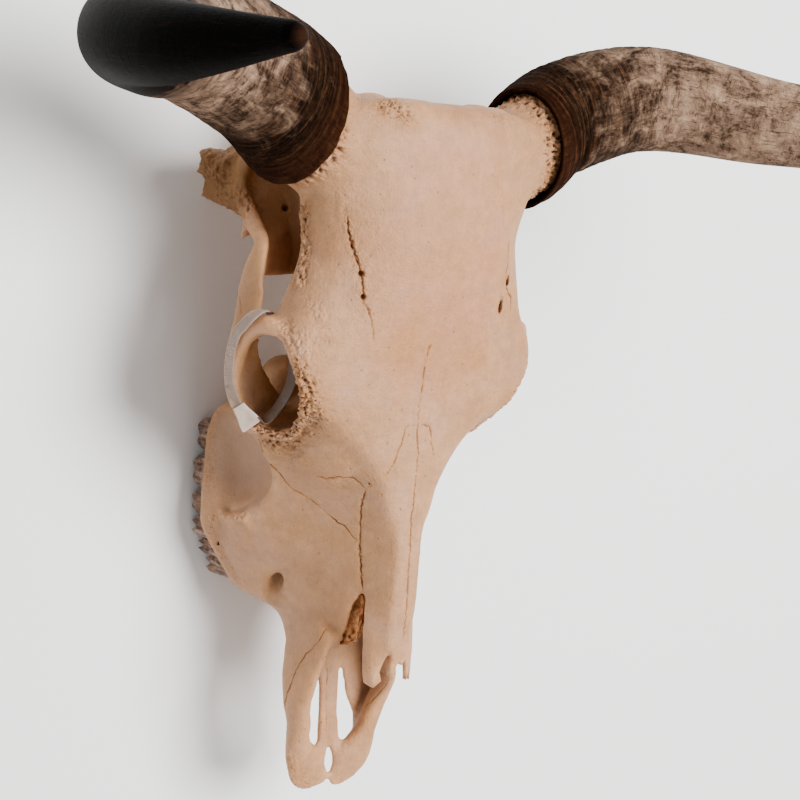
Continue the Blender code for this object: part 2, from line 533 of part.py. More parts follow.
def skull_bone(frame, look):
    """The bone: the midline body with its hollows cut, fused with all that grows from it."""
    body = new_object("skull", loft_mesh(body_rings(CRANIUM)), frame, look)
    cut(body, new_object("nose_hollow", loft_mesh(body_rings(NOSE_HOLLOW)), frame))
    notch = [[(x, y, z) for y, z in NOSE_NOTCH] for x in (-90, 90)]
    cut(body, new_object("nose_notch", loft_mesh(notch), frame))
    with_hollows = bmesh.new()
    with_hollows.from_object(body, bpy.context.evaluated_depsgraph_get())
    body.modifiers.clear()
    joined([with_hollows] + bone_forms()).to_mesh(body.data)

    remesh(body, "fuse")
    hollows = []
    for side in (-1, 1):
        hollows.append(socket_hollow(side))
        hollows.append(loft_mesh(bar_rings(TEMPLE_RECESS, side=side)))
        hollows.append(loft_mesh(bar_rings(EAR_HOLE, side=side, up=(0, 1, 0))))
    hollows.append(loft_mesh(bar_rings(NAPE_HOLE)))
    hollows.append(loft_mesh(bar_rings(THROAT)))
    cut(body, new_object("hollows", joined(hollows), frame))
    remesh(body, "even_out")
    smooth = body.modifiers.new("smooth", "SMOOTH")
    smooth.factor = 0.5
    smooth.iterations = SMOOTH_PASSES
    reduce = body.modifiers.new("reduce", "DECIMATE")
    reduce.ratio = SKULL_SHARE
    pits = [prism_mesh([(-40, -380)] + NASAL_EDGE + [(40, -380), (40, -440), (-40, -440)], -48, -8)]
    for side in (-1, 1):
        pits.append(tooth_trough(side))
        pits += [egg_mesh(centre, radii, side, 12) for centre, radii in SUPRAORBITAL_PITS]
        pits.append(loft_mesh(bar_rings(CHEEK_FORAMEN, side=side)))
    cut(body, new_object("pits", joined(pits), frame))
    return body


def strap_ring(centre, wide, along, half_width, half_thick):
    """A rectangular ring across a strap."""
    along = along.normalized()
    wide = (wide - along * wide.dot(along)).normalized()
    thick = along.cross(wide)
    corners = ((1, 1), (1, -1), (-1, -1), (-1, 1))
    points = [centre + wide * half_width * a + thick * half_thick * b for a, b in corners]
    return [(-p.x, p.y, p.z) for p in points]


def cable_tie(frame, look):
    """The closed loop of strap, and the wedge-shaped block it locks in."""
    centres = smooth_curve([p[:3] for p in TIE_LOOP], 3, True)
    widths = smooth_curve([p[3:] for p in TIE_LOOP], 3, True)
    count = len(centres)
    rings = []
    for i in range(count):
        along = centres[(i + 1) % count] - centres[i - 1]
        rings.append(strap_ring(centres[i], widths[i], along, TIE_WIDTH / 2, TIE_THICKNESS / 2))
    bm = bmesh.new()
    rows = [[bm.verts.new(Vector(p) * MM) for p in ring] for ring in rings]
    for low, high in zip(rows, rows[1:] + rows[:1]):
        for i in range(4):
            j = (i + 1) % 4
            bm.faces.new((low[i], low[j], high[j], high[i]))
    bmesh.ops.recalc_face_normals(bm, faces=bm.faces[:])
    strap = new_object("cable_tie", bm, frame, look)

    along = Vector(TIE_HEAD[-1][:3]) - Vector(TIE_HEAD[0][:3])
    wide = Vector(TIE_HEAD_ACROSS)
    block = [strap_ring(Vector(p[:3]), wide, along, p[3], p[4]) for p in TIE_HEAD]
    head = new_object("cable_tie_block", loft_mesh(block), frame)
    modifier = strap.modifiers.new("block", "BOOLEAN")
    modifier.operation = "UNION"
    modifier.object = head


def tooth_places():
    """Each tooth's name with its front and back y, width and outer x."""
    places = []
    front = TOOTH_ROW_FRONT
    for name, length, width, outer in TEETH:
        places.append((name, front, front + length, width, outer))
        front += length + TOOTH_GAP
    return places


def tooth_mesh(side, front, back, width, outer):
    """A cheek tooth: one or two outer cusps, a ribbed outer wall and a sloping worn face."""
    middle = (front + back) / 2
    half = (back - front) / 2
    lobes = 2 if back - front > MOLAR_LENGTH else 1
    outline = []
    steps = 8 * lobes
    for k in range(steps + 1):
        rib = math.cos(2 * math.pi * lobes * k / steps)
        outline.append((outer - 0.7 + 0.7 * rib, middle - half + 2 * half * k / steps))
    steps = 4 * lobes
    for k in range(steps + 1):
        rib = math.cos(2 * math.pi * lobes * k / steps)
        outline.append((outer - width + 2.2 - 1.8 * rib, middle + half - 2 * half * k / steps))
    rings = [[(x * side, y, TOOTH_ROOT_Z) for x, y in outline]]
    for level, spread in ((0.55, 1.0), (1.0, 0.97)):
        ring = []
        for x, y in outline:
            share = (x - (outer - width)) / width
            cusp = abs((lobes * (y - front) / (back - front)) % 1.0 - 0.5) * 2
            worn = OCCLUSAL_Z + 5.5 * (1 - share) + 7.5 * cusp * share
            z = TOOTH_ROOT_Z + (worn - TOOTH_ROOT_Z) * level
            ring.append(((outer - width / 2 + (x - outer + width / 2) * spread) * side, y, z))
        rings.append(ring)
    return loft_mesh(rings)


def tooth_trough(side):
    """The cutter for one side's row of tooth sockets."""
    outer_edge, inner_edge = [], []
    for name, front, back, width, outer in tooth_places():
        ends = (front - SOCKET_GAP * 0.7, back + SOCKET_GAP * 0.7)
        outer_edge += [(outer + SOCKET_GAP, y) for y in ends]
        inner_edge += [(outer - width - SOCKET_GAP, y) for y in ends]
    outline = outer_edge + inner_edge[::-1]
    return prism_mesh([(x * side, y) for x, y in outline], -200, TOOTH_ROOT_Z + 0.6)


def cheek_teeth(frame, look):
    for side, word in ((-1, "right"), (1, "left")):
        for name, front, back, width, outer in tooth_places():
            bm = tooth_mesh(side, front, back, width, outer)
            new_object(f"tooth_{word}_{name}", bm, frame, look)


def main():
    for obj in list(bpy.data.objects):
        bpy.data.objects.remove(obj)
    frame = bpy.data.objects.new("skull_frame", None)
    bpy.context.scene.collection.objects.link(frame)
    frame.location = (0, -MIDDLE_Y * MM, FOREHEAD_HEIGHT * MM)
    bpy.context.view_layer.update()

    bone = material("bone", (0.72, 0.56, 0.42), 0.6)
    horn = material("horn", (0.12, 0.08, 0.055), 0.45)
    enamel = material("enamel", (0.55, 0.45, 0.34), 0.4)
    nylon = material("nylon", (0.75, 0.72, 0.7), 0.35)
    skull_bone(frame, bone)
    cheek_teeth(frame, enamel)
    for word in SIDES:
        sheath(word, frame, horn)
    cable_tie(frame, nylon)


main()
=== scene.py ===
"""The looks of a longhorn skull: bone with its horn cores, two horn sheaths, twelve cheek
teeth and a cable tie.

The pieces are drawn in millimetres in the skull's own frame, as the CAD part is. x runs to the
animal's left, y runs back from the muzzle to the poll at y = 0, and z rises from the base to
the forehead at z = 0. World places are metres, with the skull lying on the floor.
"""

import math

import bmesh
import bpy
from mathutils import Matrix, Vector, kdtree, noise
from mathutils.bvhtree import BVHTree


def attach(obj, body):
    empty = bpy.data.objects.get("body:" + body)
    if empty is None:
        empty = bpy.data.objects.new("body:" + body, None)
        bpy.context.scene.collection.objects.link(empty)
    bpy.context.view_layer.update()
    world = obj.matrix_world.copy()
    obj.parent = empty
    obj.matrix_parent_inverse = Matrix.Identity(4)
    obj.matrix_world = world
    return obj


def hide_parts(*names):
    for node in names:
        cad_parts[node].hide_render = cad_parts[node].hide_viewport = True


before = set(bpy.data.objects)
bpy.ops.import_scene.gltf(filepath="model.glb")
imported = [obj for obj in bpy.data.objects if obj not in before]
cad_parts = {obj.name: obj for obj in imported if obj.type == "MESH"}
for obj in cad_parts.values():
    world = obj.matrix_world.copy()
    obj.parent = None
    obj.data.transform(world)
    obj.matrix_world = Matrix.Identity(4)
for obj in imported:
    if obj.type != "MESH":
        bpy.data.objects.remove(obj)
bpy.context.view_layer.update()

MM = 0.001
FOREHEAD_HEIGHT = 195.0
MIDDLE_Y = -232.0
TO_WORLD = Matrix.Translation(Vector((0, -MIDDLE_Y, FOREHEAD_HEIGHT)) * MM)
# The noise starts from this seed, so that every run makes the same skull.
NOISE_SEED = 11

# The bone is fused on this grid, evened out, and thinned where it is flat. Once it is
# sculpted it is thinned again, to stay under the limit of triangles for one piece.
FUSE_GRID = 2.0 * MM
SMOOTH_PASSES = 5
THINNED_SHARE = 0.30
MOST_TRIANGLES = 194000
# The longest edges, in mm, that stay whole in porous bone and beside a crack.
PORE_EDGE = 1.1
CRACK_EDGE = 0.65
# A crack's points along each span, and how many of them its fading ends take up.
CRACK_STEPS = 24
CRACK_ENDS = 12

# Each horn's centre line from the base to the tip, written for the left side, with its
# outer radius, and how the sheath's rim leans along the horn: all round, towards the side
# that faces across, and towards the side that faces the muzzle or the nape.
HORN_LINES = {
    "left": [(106, -20, -30, 42.5), (144, 4, -29, 43.7), (209, 23, -6, 41.2), (281, 9, 67, 33.6),
             (331, 0, 138, 27), (353, -11, 217, 20.6), (342, -12, 296, 9.5)],
    "right": [(105, -16, -32, 49), (141, 5, -26, 46.4), (210, 21, 0, 42.4), (276, 9, 68, 34),
              (331, 0, 138, 27), (353, -11, 217, 20.6), (342, -12, 296, 9.5)],
}
RIM_LEAN = {"left": (-7.5, 6, 17.5), "right": (4.5, -5, 17.5)}
SHEATH_WALL = 4.5
CORE_CLEARANCE = 3.5
LEAN_FADES_BY = 0.16
CORE_ROOT = (66, -44, -31, 36)
# The core and the sheath's hollow end at these shares of the horn's length.
CORE_END = 0.52
HOLLOW_END = 0.60

SIDES = {"right": -1, "left": 1}

# Each tooth's name, length along the jaw, width across it, and outer x, from front to back.
TEETH = [
    ("p2", 15.0, 11.0, 60.5),
    ("p3", 13.0, 14.0, 68.0),
    ("p4", 17.0, 18.0, 75.0),
    ("m1", 20.0, 21.0, 77.0),
    ("m2", 27.0, 23.0, 77.5),
    ("m3", 27.5, 21.0, 74.5),
]
TOOTH_ROW_FRONT = -365.5
TOOTH_GAP = 1.0
TOOTH_ROOT_Z = -151.0
OCCLUSAL_Z = -195.0
SOCKET_GAP = 0.5
# A tooth longer than this is a molar, with two cusps on its outer side.
MOLAR_LENGTH = 18.0
CUSPS = 2

# A horn's length along its centre line.
HORN_LENGTH = 465.0
# How many corners the rings of a sheath, a core and a tooth have, and how many rings there are
# between two points of a horn's line, outside and in the hollow.
SHEATH_SIDES = 112
CORE_SIDES = 48
TOOTH_SIDES = 64
OUTER_RINGS = 44
INNER_RINGS = 10
# Edges sharper than this, in degrees, aren't shaded smooth on the teeth and the tie.
SHARP_ANGLE = 35
# The horns' colours, as (share of the length, tone): 0 the base, 0.5 the pale middle, 1 the tip.
TONES = {
    "left": [(0, 0), (0.12, 0.13), (0.26, 0.32), (0.56, 0.5), (0.68, 0.62), (1, 0.98)],
    "right": [(0, 0), (0.08, 0.08), (0.2, 0.34), (0.42, 0.5), (0.5, 0.6), (1, 0.98)],
}

# The bone's midline body, from the nape to the front of the nasal floor. Each half outline
# runs from the top of the midline, out over the edge of the forehead, in along the side
# wall and out again to the base or the tooth row, and back to the midline below.
CRANIUM = [
    (0, -22, [(0, 0), (30, 2), (56, -2), (74, -12), (78, -26), (72, -42), (66, -60), (64, -78),
              (66, -96), (66, -112), (56, -124), (40, -126), (20, -122), (0, -119)]),
    (-6, -28, [(0, 11), (34, 12), (62, 7), (90, -2), (104, -20), (96, -44), (80, -62), (76, -82),
               (80, -102), (82, -122), (70, -138), (48, -142), (24, -140), (0, -136)]),
    (-22, -40, [(0, 18), (36, 15), (66, 10), (94, 2), (110, -18), (103, -46), (80, -64),
                (70, -84), (70, -104), (70, -124), (60, -140), (42, -144), (22, -140), (0, -136)]),
    (-55, -60, [(0, 17), (38, 14), (68, 5), (90, -5), (100, -25), (95, -44), (74, -54), (60, -70),
                (56, -90), (56, -112), (52, -130), (40, -138), (22, -136), (0, -132)]),
    (-92, -92, [(0, 16), (38, 13), (66, 2), (84, -11), (93, -28), (89, -41), (68, -50), (56, -66),
                (52, -86), (50, -106), (44, -122), (32, -130), (18, -130), (0, -128)]),
    (-122, -120, [(0, 12), (40, 9), (68, 0), (87, -11), (97, -28), (93, -42), (66, -48),
                  (50, -60), (46, -78), (43, -96), (36, -110), (24, -120), (12, -124), (0, -125)]),
    (-148, -145, [(0, 6), (42, 4), (76, -5), (96, -15), (106, -30), (104, -43), (76, -48),
                  (48, -58), (42, -74), (38, -92), (32, -108), (22, -120), (11, -126), (0, -128)]),
    (-167, -165, [(0, 1), (44, 0), (80, -6), (103, -13), (113, -26), (110, -38), (80, -46),
                  (48, -56), (40, -72), (36, -90), (30, -108), (22, -122), (11, -130), (0, -132)]),
    (-186, -184, [(0, -4), (44, -5), (80, -8), (100, -11), (108, -16), (98, -26), (72, -38),
                  (48, -52), (40, -70), (36, -90), (32, -110), (24, -126), (12, -134), (0, -134)]),
    (-204, -202, [(0, -8), (44, -9), (76, -11), (94, -13), (101, -18), (92, -28), (68, -38),
                  (48, -52), (42, -72), (40, -94), (38, -116), (32, -136), (20, -140), (0, -134)]),
    (-220, -218, [(0, -9), (40, -11), (66, -14), (84, -19), (93, -30), (84, -42), (68, -52),
                  (58, -68), (60, -90), (62, -114), (60, -140), (46, -152), (34, -146), (0, -134)]),
    (-232, -230, [(0, -10), (34, -12), (50, -16), (63, -21), (76, -33), (88, -51), (96, -72),
                  (95, -94), (86, -112), (78, -134), (76, -158), (49, -161), (38, -148), (0, -134)]),
    (-250, -248, [(0, -11), (24, -13), (37, -16), (46, -23), (60, -42), (74, -62), (86, -80),
                  (84, -93), (79, -107), (76, -124), (80, -166), (48, -167), (40, -144), (0, -134)]),
    (-275, -273, [(0, -12), (18, -14), (26, -18), (36, -32), (48, -51), (60, -69), (71, -86),
                  (72, -96), (71, -110), (71, -128), (81.5, -168), (48, -168), (41, -142), (0, -134)]),
    (-291, -289, [(0, -12), (14, -14), (21, -18), (31, -34), (45, -56), (58, -76), (71, -96),
                  (74, -106), (73, -118), (73, -134), (82, -168), (48, -168), (41, -141), (0, -132)]),
    (-306, -305, [(0, -13), (10, -14), (16, -19), (26, -36), (41, -60), (56, -84), (70, -104),
                  (82, -119), (85, -128), (81, -142), (82, -168), (48, -168), (41, -140), (0, -131)]),
    (-323, -322, [(0, -13), (10, -14), (15, -20), (25, -37), (38, -59), (52, -82), (65, -104),
                  (75, -120), (78, -131), (76.5, -144), (81.5, -168), (47, -168), (40, -139), (0, -128)]),
    (-340, -338, [(0, -14), (10, -15), (15, -21), (24, -37), (36, -59), (47, -81), (57, -102),
                  (66, -122), (72, -137), (73, -149), (75, -162), (44, -162), (38, -138), (0, -125)]),
    (-357, -356, [(0, -15), (10, -16), (15, -23), (23, -40), (34, -61), (44, -83), (53, -104),
                  (60, -119), (64, -131), (65, -144), (65, -158), (41, -160), (34, -134), (0, -121)]),
    (-370, -369, [(0, -16), (10, -17), (15, -24), (22, -42), (32, -62), (41, -84), (49, -102),
                  (56, -115), (59, -127), (59, -139), (57, -150), (38, -148), (28, -124), (0, -117)]),
    (-383, -383, [(0, -18), (10, -19), (15, -28), (21, -46), (29, -66), (36, -84), (41, -97),
                  (44, -106), (43, -114), (40, -120), (33, -121), (25, -118), (18, -115), (0, -114)]),
    (-402, -402, [(0, -20), (10, -21), (15, -31), (20, -50), (27, -69), (33, -84), (37, -96),
                  (39, -104), (38, -110), (35, -113), (30, -113), (23, -112), (17, -111), (0, -110)]),
]

# The floor of the temple behind y = -127, and the floor of the eye socket, as closed
# outlines of (x, z) at each y.
TEMPLE_FLOOR = [
    (-24, [(36, -92), (62, -98), (80, -112), (86, -128), (66, -138), (40, -130)]),
    (-42, [(36, -92), (66, -104), (86, -118), (92, -146), (66, -146), (40, -134)]),
    (-58, [(36, -90), (66, -106), (90, -122), (97, -162), (70, -150), (40, -134)]),
    (-72, [(36, -88), (64, -104), (91, -118), (90, -174), (68, -152), (40, -132)]),
    (-80, [(36, -86), (62, -102), (91, -112), (88, -142), (66, -144), (40, -131)]),
    (-89, [(36, -84), (62, -98), (92, -100), (87, -113), (66, -132), (40, -130)]),
    (-103, [(36, -80), (62, -93), (104, -66), (101, -78), (74, -108), (40, -124)]),
    (-118, [(36, -82), (60, -94), (107, -61), (104, -74), (72, -103), (40, -118)]),
    (-127, [(38, -88), (60, -97), (106, -62), (104, -69), (72, -99), (40, -112)]),
]
SOCKET_FLOOR = [
    (-142, [(114, -57), (110, -60), (113, -76), (116, -76)]),
    (-158, [(117, -58), (108, -60), (112, -74), (120, -76)]),
    (-172, [(120, -62), (104, -66), (106, -72), (122, -76)]),
    (-187, [(121, -68), (97, -71), (98, -78), (121, -79)]),
    (-200, [(120, -70), (88, -74), (88, -82), (119, -82)]),
    (-214, [(116, -72), (74, -77), (74, -88), (112, -90)]),
    (-228, [(108, -72), (62, -82), (62, -100), (102, -98)]),
    (-242, [(92, -70), (62, -84), (64, -104), (92, -100)]),
]

# Rounded swellings on both sides as (centre, radii): the condyles of the nape, the ends of the
# poll and the bone behind the tooth row; and the one knob left of the middle of the poll.
SWELLINGS = [((28, -13, -131), (17, 23, 22)), ((56, -9, -14), (20, 12, 12)), ((53, -211, -106), (22, 26, 20))]
POLL_KNOB = ((31, -11, -4), (25, 14, 13))

# The hollow of the nose, cut from the front back to the eye sockets.
NOSE_HOLLOW = [
    (-262, -262, [(0, -30), (14, -32), (22, -42), (30, -66), (32, -96), (20, -116), (0, -122)]),
    (-300, -300, [(0, -21), (12, -24), (22, -40), (34, -66), (42, -94), (36, -116), (0, -124)]),
    (-345, -345, [(0, -20), (11, -22), (18, -38), (29, -62), (38, -90), (34, -110), (0, -117)]),
    (-386, -386, [(0, -22), (9, -24), (14, -36), (20, -56), (28, -78), (30, -98), (0, -106)]),
    (-415, -415, [(0, -25), (8, -27), (12, -38), (17, -60), (23, -80), (26, -96), (0, -101)]),
]

# The notch on each side of the nose, between the nasal bones and the premaxillae, as (y, z),
# and how far to each side it is cut.
NOSE_NOTCH = [(-352, -38), (-389, -38), (-420, -40), (-460, -40), (-460, -92), (-446, -83),
              (-428, -72), (-411, -66), (-394, -60), (-382, -54), (-366, -48)]
NOTCH_REACH = 90

# The thin front of the nasal bones as a half outline of (x, z) at each y, and the ragged
# front edge they are trimmed to, as (x, y) from right to left, from one z to another.
NASAL_PLATE = [
    (-350, [(0, -17), (10, -19), (14, -24), (18, -32), (16, -34), (12, -29), (8, -24), (0, -21)]),
    (-366, [(0, -17), (11, -20), (17, -26), (21, -34), (19, -36), (15, -30), (9, -24), (0, -21)]),
    (-382, [(0, -18), (12, -21), (19, -28), (23.5, -35), (21, -37), (16, -31), (10, -24), (0, -22)]),
    (-400, [(0, -20), (12, -23), (19, -27), (23.5, -34), (20.5, -36), (16, -30), (10, -26), (0, -24)]),
    (-432, [(0, -23), (11, -26), (19, -29), (23.5, -35), (20.5, -37), (15, -32), (9, -29), (0, -27)]),
]
NASAL_EDGE = [(-30, -380), (-24, -402), (-20, -421), (-16, -424), (-11, -419), (-13, -412), (-10, -399),
              (-6, -398), (-5.5, -408), (-5, -416), (-2, -411), (2, -405), (6, -409), (9, -404),
              (11, -412), (14, -422), (17, -417), (19.5, -409), (21, -423), (23, -425), (26, -408),
              (30, -395), (40, -380)]
NASAL_TRIM = (-48, -8)

# The rim of the eye socket, a closed path of (x, y, z, half thickness) round the opening.
ORBIT_RIM = [(111, -165, -27, 4.5), (115, -160, -36, 7), (119, -161, -47, 7), (121, -170, -58, 5.5),
             (122, -183, -67, 4.5), (122, -199, -71, 4.5), (115, -219, -73, 4.5),
             (105, -231, -71, 4.5), (94, -238, -65, 4.5), (85, -237, -51, 4.5), (88, -224, -33, 4),
             (94, -213, -23, 4), (98, -204, -19, 4), (102, -194, -18, 4), (105, -184, -20, 4),
             (108, -173, -23, 4.5)]
POST_BAR = [(93, -147, -28, 7, 7, 0), (103, -155, -36, 6, 6, 0), (111, -159, -44, 6, 7, 0),
            (117, -166, -56, 5.5, 6, 0)]

# The zygomatic arch, from the back of the eye socket to the crest over the ear.
CHEEK_ARCH = [(118, -196, -76, 4, 8, 0), (118, -178, -72, 4, 11, 6), (116, -160, -68, 4, 12, 10),
              (113, -145, -67, 4, 13, 14), (112, -130, -67, 4, 11, 14), (110, -116, -65, 4, 9, 14),
              (106, -104, -66, 4.5, 6, 10), (100, -97, -80, 5, 6, 0), (93, -89, -98, 5, 7, 0),
              (89, -78, -114, 5, 7, 0), (88, -66, -122, 5, 8, 0), (88, -54, -122, 5, 8, 0),
              (86, -42, -116, 5, 8, 0), (80, -32, -104, 6, 8, 0)]

# The upper jaw's front bone, from beside the nasal bones to the muzzle. Its two sides are
# alike as far as the rows given here, and differ from there on.
PREMAXILLA = [(31, -384, -74, 16, 4.5, 76), (35, -402, -85, 22, 5, 78), (38, -419, -87, 20, 6, 80),
              (41, -433, -86, 17, 6.5, 78), (40, -448, -88.5, 12, 7.5, 70), (37, -458, -90.5, 10, 8, 60),
              (34.5, -467, -92, 9.5, 8, 40), (33, -477, -95, 9.5, 8, 20)]
MUZZLE = {
    "right": [(27.5, -492, -99, 13, 7.5, 0), (20.5, -501, -102, 17.5, 6, 0), (16, -507.5, -103, 17, 5.5, 0),
              (12, -513, -104, 15.5, 4.8, 0), (9, -518, -104, 14, 4, 0), (7.5, -523, -104, 11.5, 3.4, 0)],
    "left": [(30.5, -488, -98, 12.5, 7.5, 0), (25, -502, -101, 16, 6.5, 0), (21.5, -510, -103, 14, 5.5, 0),
             (17.5, -516, -104, 12, 4.8, 0), (14.5, -522, -104, 8.5, 3.4, 0), (13.5, -527, -104, 6, 2.8, 0)],
}
PALATE_BAR = {
    "right": [(6, -396, -108, 7, 3, 0), (4, -424, -106, 6, 2.8, 0), (3, -455, -105, 5, 2.8, 0),
              (3, -484, -104, 5, 3, 0), (5, -501, -103, 6, 3.4, 0), (6, -512, -104, 6, 3, 0)],
    "left": [(6, -396, -108, 7, 3, 0), (6, -424, -106, 6, 2.8, 0), (5.8, -455, -105, 5.4, 2.8, 0),
             (8, -484, -104, 5.6, 3, 0), (12, -500, -103, 5.4, 3.4, 0), (14, -512, -104, 6, 3, 0)],
}
PALATE_SHELF = {
    "right": [(26, -402, -109, 9, 3, 0), (24, -424, -108, 10, 3, 0), (21, -440, -107, 9.5, 3.5, 0),
              (22, -460, -106, 8.5, 4, 0), (22.5, -476, -105, 8.5, 4, 0), (23, -492, -104, 8.5, 4, 0)],
    "left": [(26, -402, -109, 10, 3, 0), (26.5, -424, -108, 12.5, 3, 0), (30, -440, -107, 13, 3.5, 0),
             (33, -452, -106, 13.5, 4, 0), (34, -468, -105, 8, 4, 0), (34, -482, -104, 7, 4, 0)],
}
PALATE_FRONT = [
    (-394, [(0, -106), (20, -106), (34, -104), (38, -110), (20, -114), (0, -113)]),
    (-412, [(0, -105), (20, -105), (34, -104), (37, -109), (20, -112), (0, -111)]),
    (-430, [(0, -105), (18, -105), (33, -104), (36, -108), (18, -110), (0, -109)]),
]

# Processes below and behind the braincase.
JUGULAR = [(62, -36, -128, 13, 12, 0), (66, -50, -156, 10, 8, 0), (67, -62, -176, 8, 5, 0),
           (66, -70, -194.2, 4.5, 4, 0)]
EAR_TUBE = [(74, -52, -130, 13, 13, 0), (87, -49, -146, 12, 12, 0), (97, -47, -158, 10.5, 11, 0),
            (101, -46, -164, 6.5, 7, 0)]
EAR_HOLE = [(82, -52, -142, 4, 4, 0), (92, -49, -150, 5.5, 5.5, 0), (106, -46, -164, 7, 7, 0)]
EAR_BULLA = [(48, -84, -140, 11, 12, 0), (50, -92, -152, 7, 8, 0), (50, -98, -162, 2.5, 3, 0)]
EAR_SPUR = [(84, -90, -110, 5, 5, 0), (91, -96, -108, 4.5, 4.5, 0), (95, -101, -106, 2.5, 2.5, 0)]
PTERYGOID = [(23, -150, -122, 3, 6, 0), (24, -172, -128, 2.8, 7, 0), (25, -190, -136, 2.8, 9, 0),
             (28, -206, -146, 3, 13, 0), (35, -228, -146, 3, 12, 0)]
PTERYGOID_HOOK = [(27, -207, -154, 2.5, 6, 0), (26, -203, -166, 2, 3, 0), (25, -200, -176, 1.5, 2, 0)]

# The eye socket's hollow: the rim's opening pushed in sideways, as (how far, how large).
SOCKET_DEPTHS = [(-30, 1.0), (0, 1.0), (14, 1.0), (32, 0.9), (48, 0.7), (58, 0.35)]
SOCKET_WAY = (-0.97, 0.0, -0.22)

# Pits and passages cut after the bone is fused: (centre, radii).
SUPRAORBITAL_PITS = [((68, -122, -4), (2.6, 4.5, 9)), ((62, -141, -3), (3, 6, 9))]
TEMPLE_RECESS = [(51, -103, -103, 6, 8, 0), (51, -116, -104, 8, 9, 0), (51, -134, -105, 8.5, 10, 0)]
CHEEK_FORAMEN = [(46, -344, -102, 4.5, 5, 0), (53, -358, -105, 5.5, 7, 0), (58, -368, -107, 5.5, 8.5, 0),
                 (65, -382, -110, 5, 8, 0)]
NAPE_HOLE = [(0, 30, -112, 21, 19, 0), (0, -10, -114, 20, 18, 0), (0, -44, -100, 22, 20, 0),
             (0, -84, -84, 20, 22, 0), (0, -104, -78, 10, 12, 0)]
THROAT = [(0, -186, -154, 16, 10, 0), (0, -208, -144, 17, 14, 0), (0, -240, -118, 16, 12, 0),
          (0, -275, -100, 14, 14, 0)]

# The cable tie: its flat strap's centre line round the side of the right eye socket, with
# the direction of the strap's width, both written for the left side.
TIE_LOOP = [
    (127, -154.8, -44.5, 0.05, 0.6, -0.9), (128.6, -160, -49.5, 0.25, 0.6, -0.8),
    (129.4, -166.4, -56.8, 0.2, 0.4, -1.0), (129.4, -178.7, -63.2, 0.32, 0.1, -1.0),
    (128.2, -193, -66.6, 0.33, -0.07, -1.0), (125.4, -205, -68.4, 0.35, -0.27, -1.0),
    (121.6, -214.3, -68.2, 0.5, -0.5, -0.75), (117, -221, -67.2, 0.72, -0.56, -0.41),
    (110.5, -226.5, -64.5, 0.6, -0.4, -0.6), (101.5, -228.5, -60.5, 0.4, 0, -0.8),
    (96, -222.8, -57, 0.2, 0.4, -1.0), (91.7, -215.3, -54, 0.25, 0.4, -1.0),
    (88.3, -206.5, -51, 0.35, 0.3, -1.05), (86, -197.3, -50, 0.42, 0.09, -1.04),
    (85.8, -188, -50, 0.43, -0.1, -1.04), (85.9, -179, -52, 0.45, -0.3, -1.0),
    (88, -170, -55, 0.45, -0.45, -0.9), (95, -160, -57, 0.6, -0.3, -0.7),
    (104, -152.5, -54, 0.5, 0.2, -0.8), (113, -150, -47.5, 0.3, 0.1, -0.9),
    (121.6, -150.6, -42.8, 0.15, 0.15, -1.0),
]
TIE_WIDTH = 8.0
TIE_THICKNESS = 1.3
TIE_HEAD = [(119, -218, -67, 4.4, 1.8), (115, -223, -66.1, 5.4, 2.6), (111.3, -228.4, -64.8, 7.2, 2.8),
            (109.1, -232, -63.8, 7.8, 2.2)]
TIE_HEAD_ACROSS = (0.72, -0.6, -0.35)

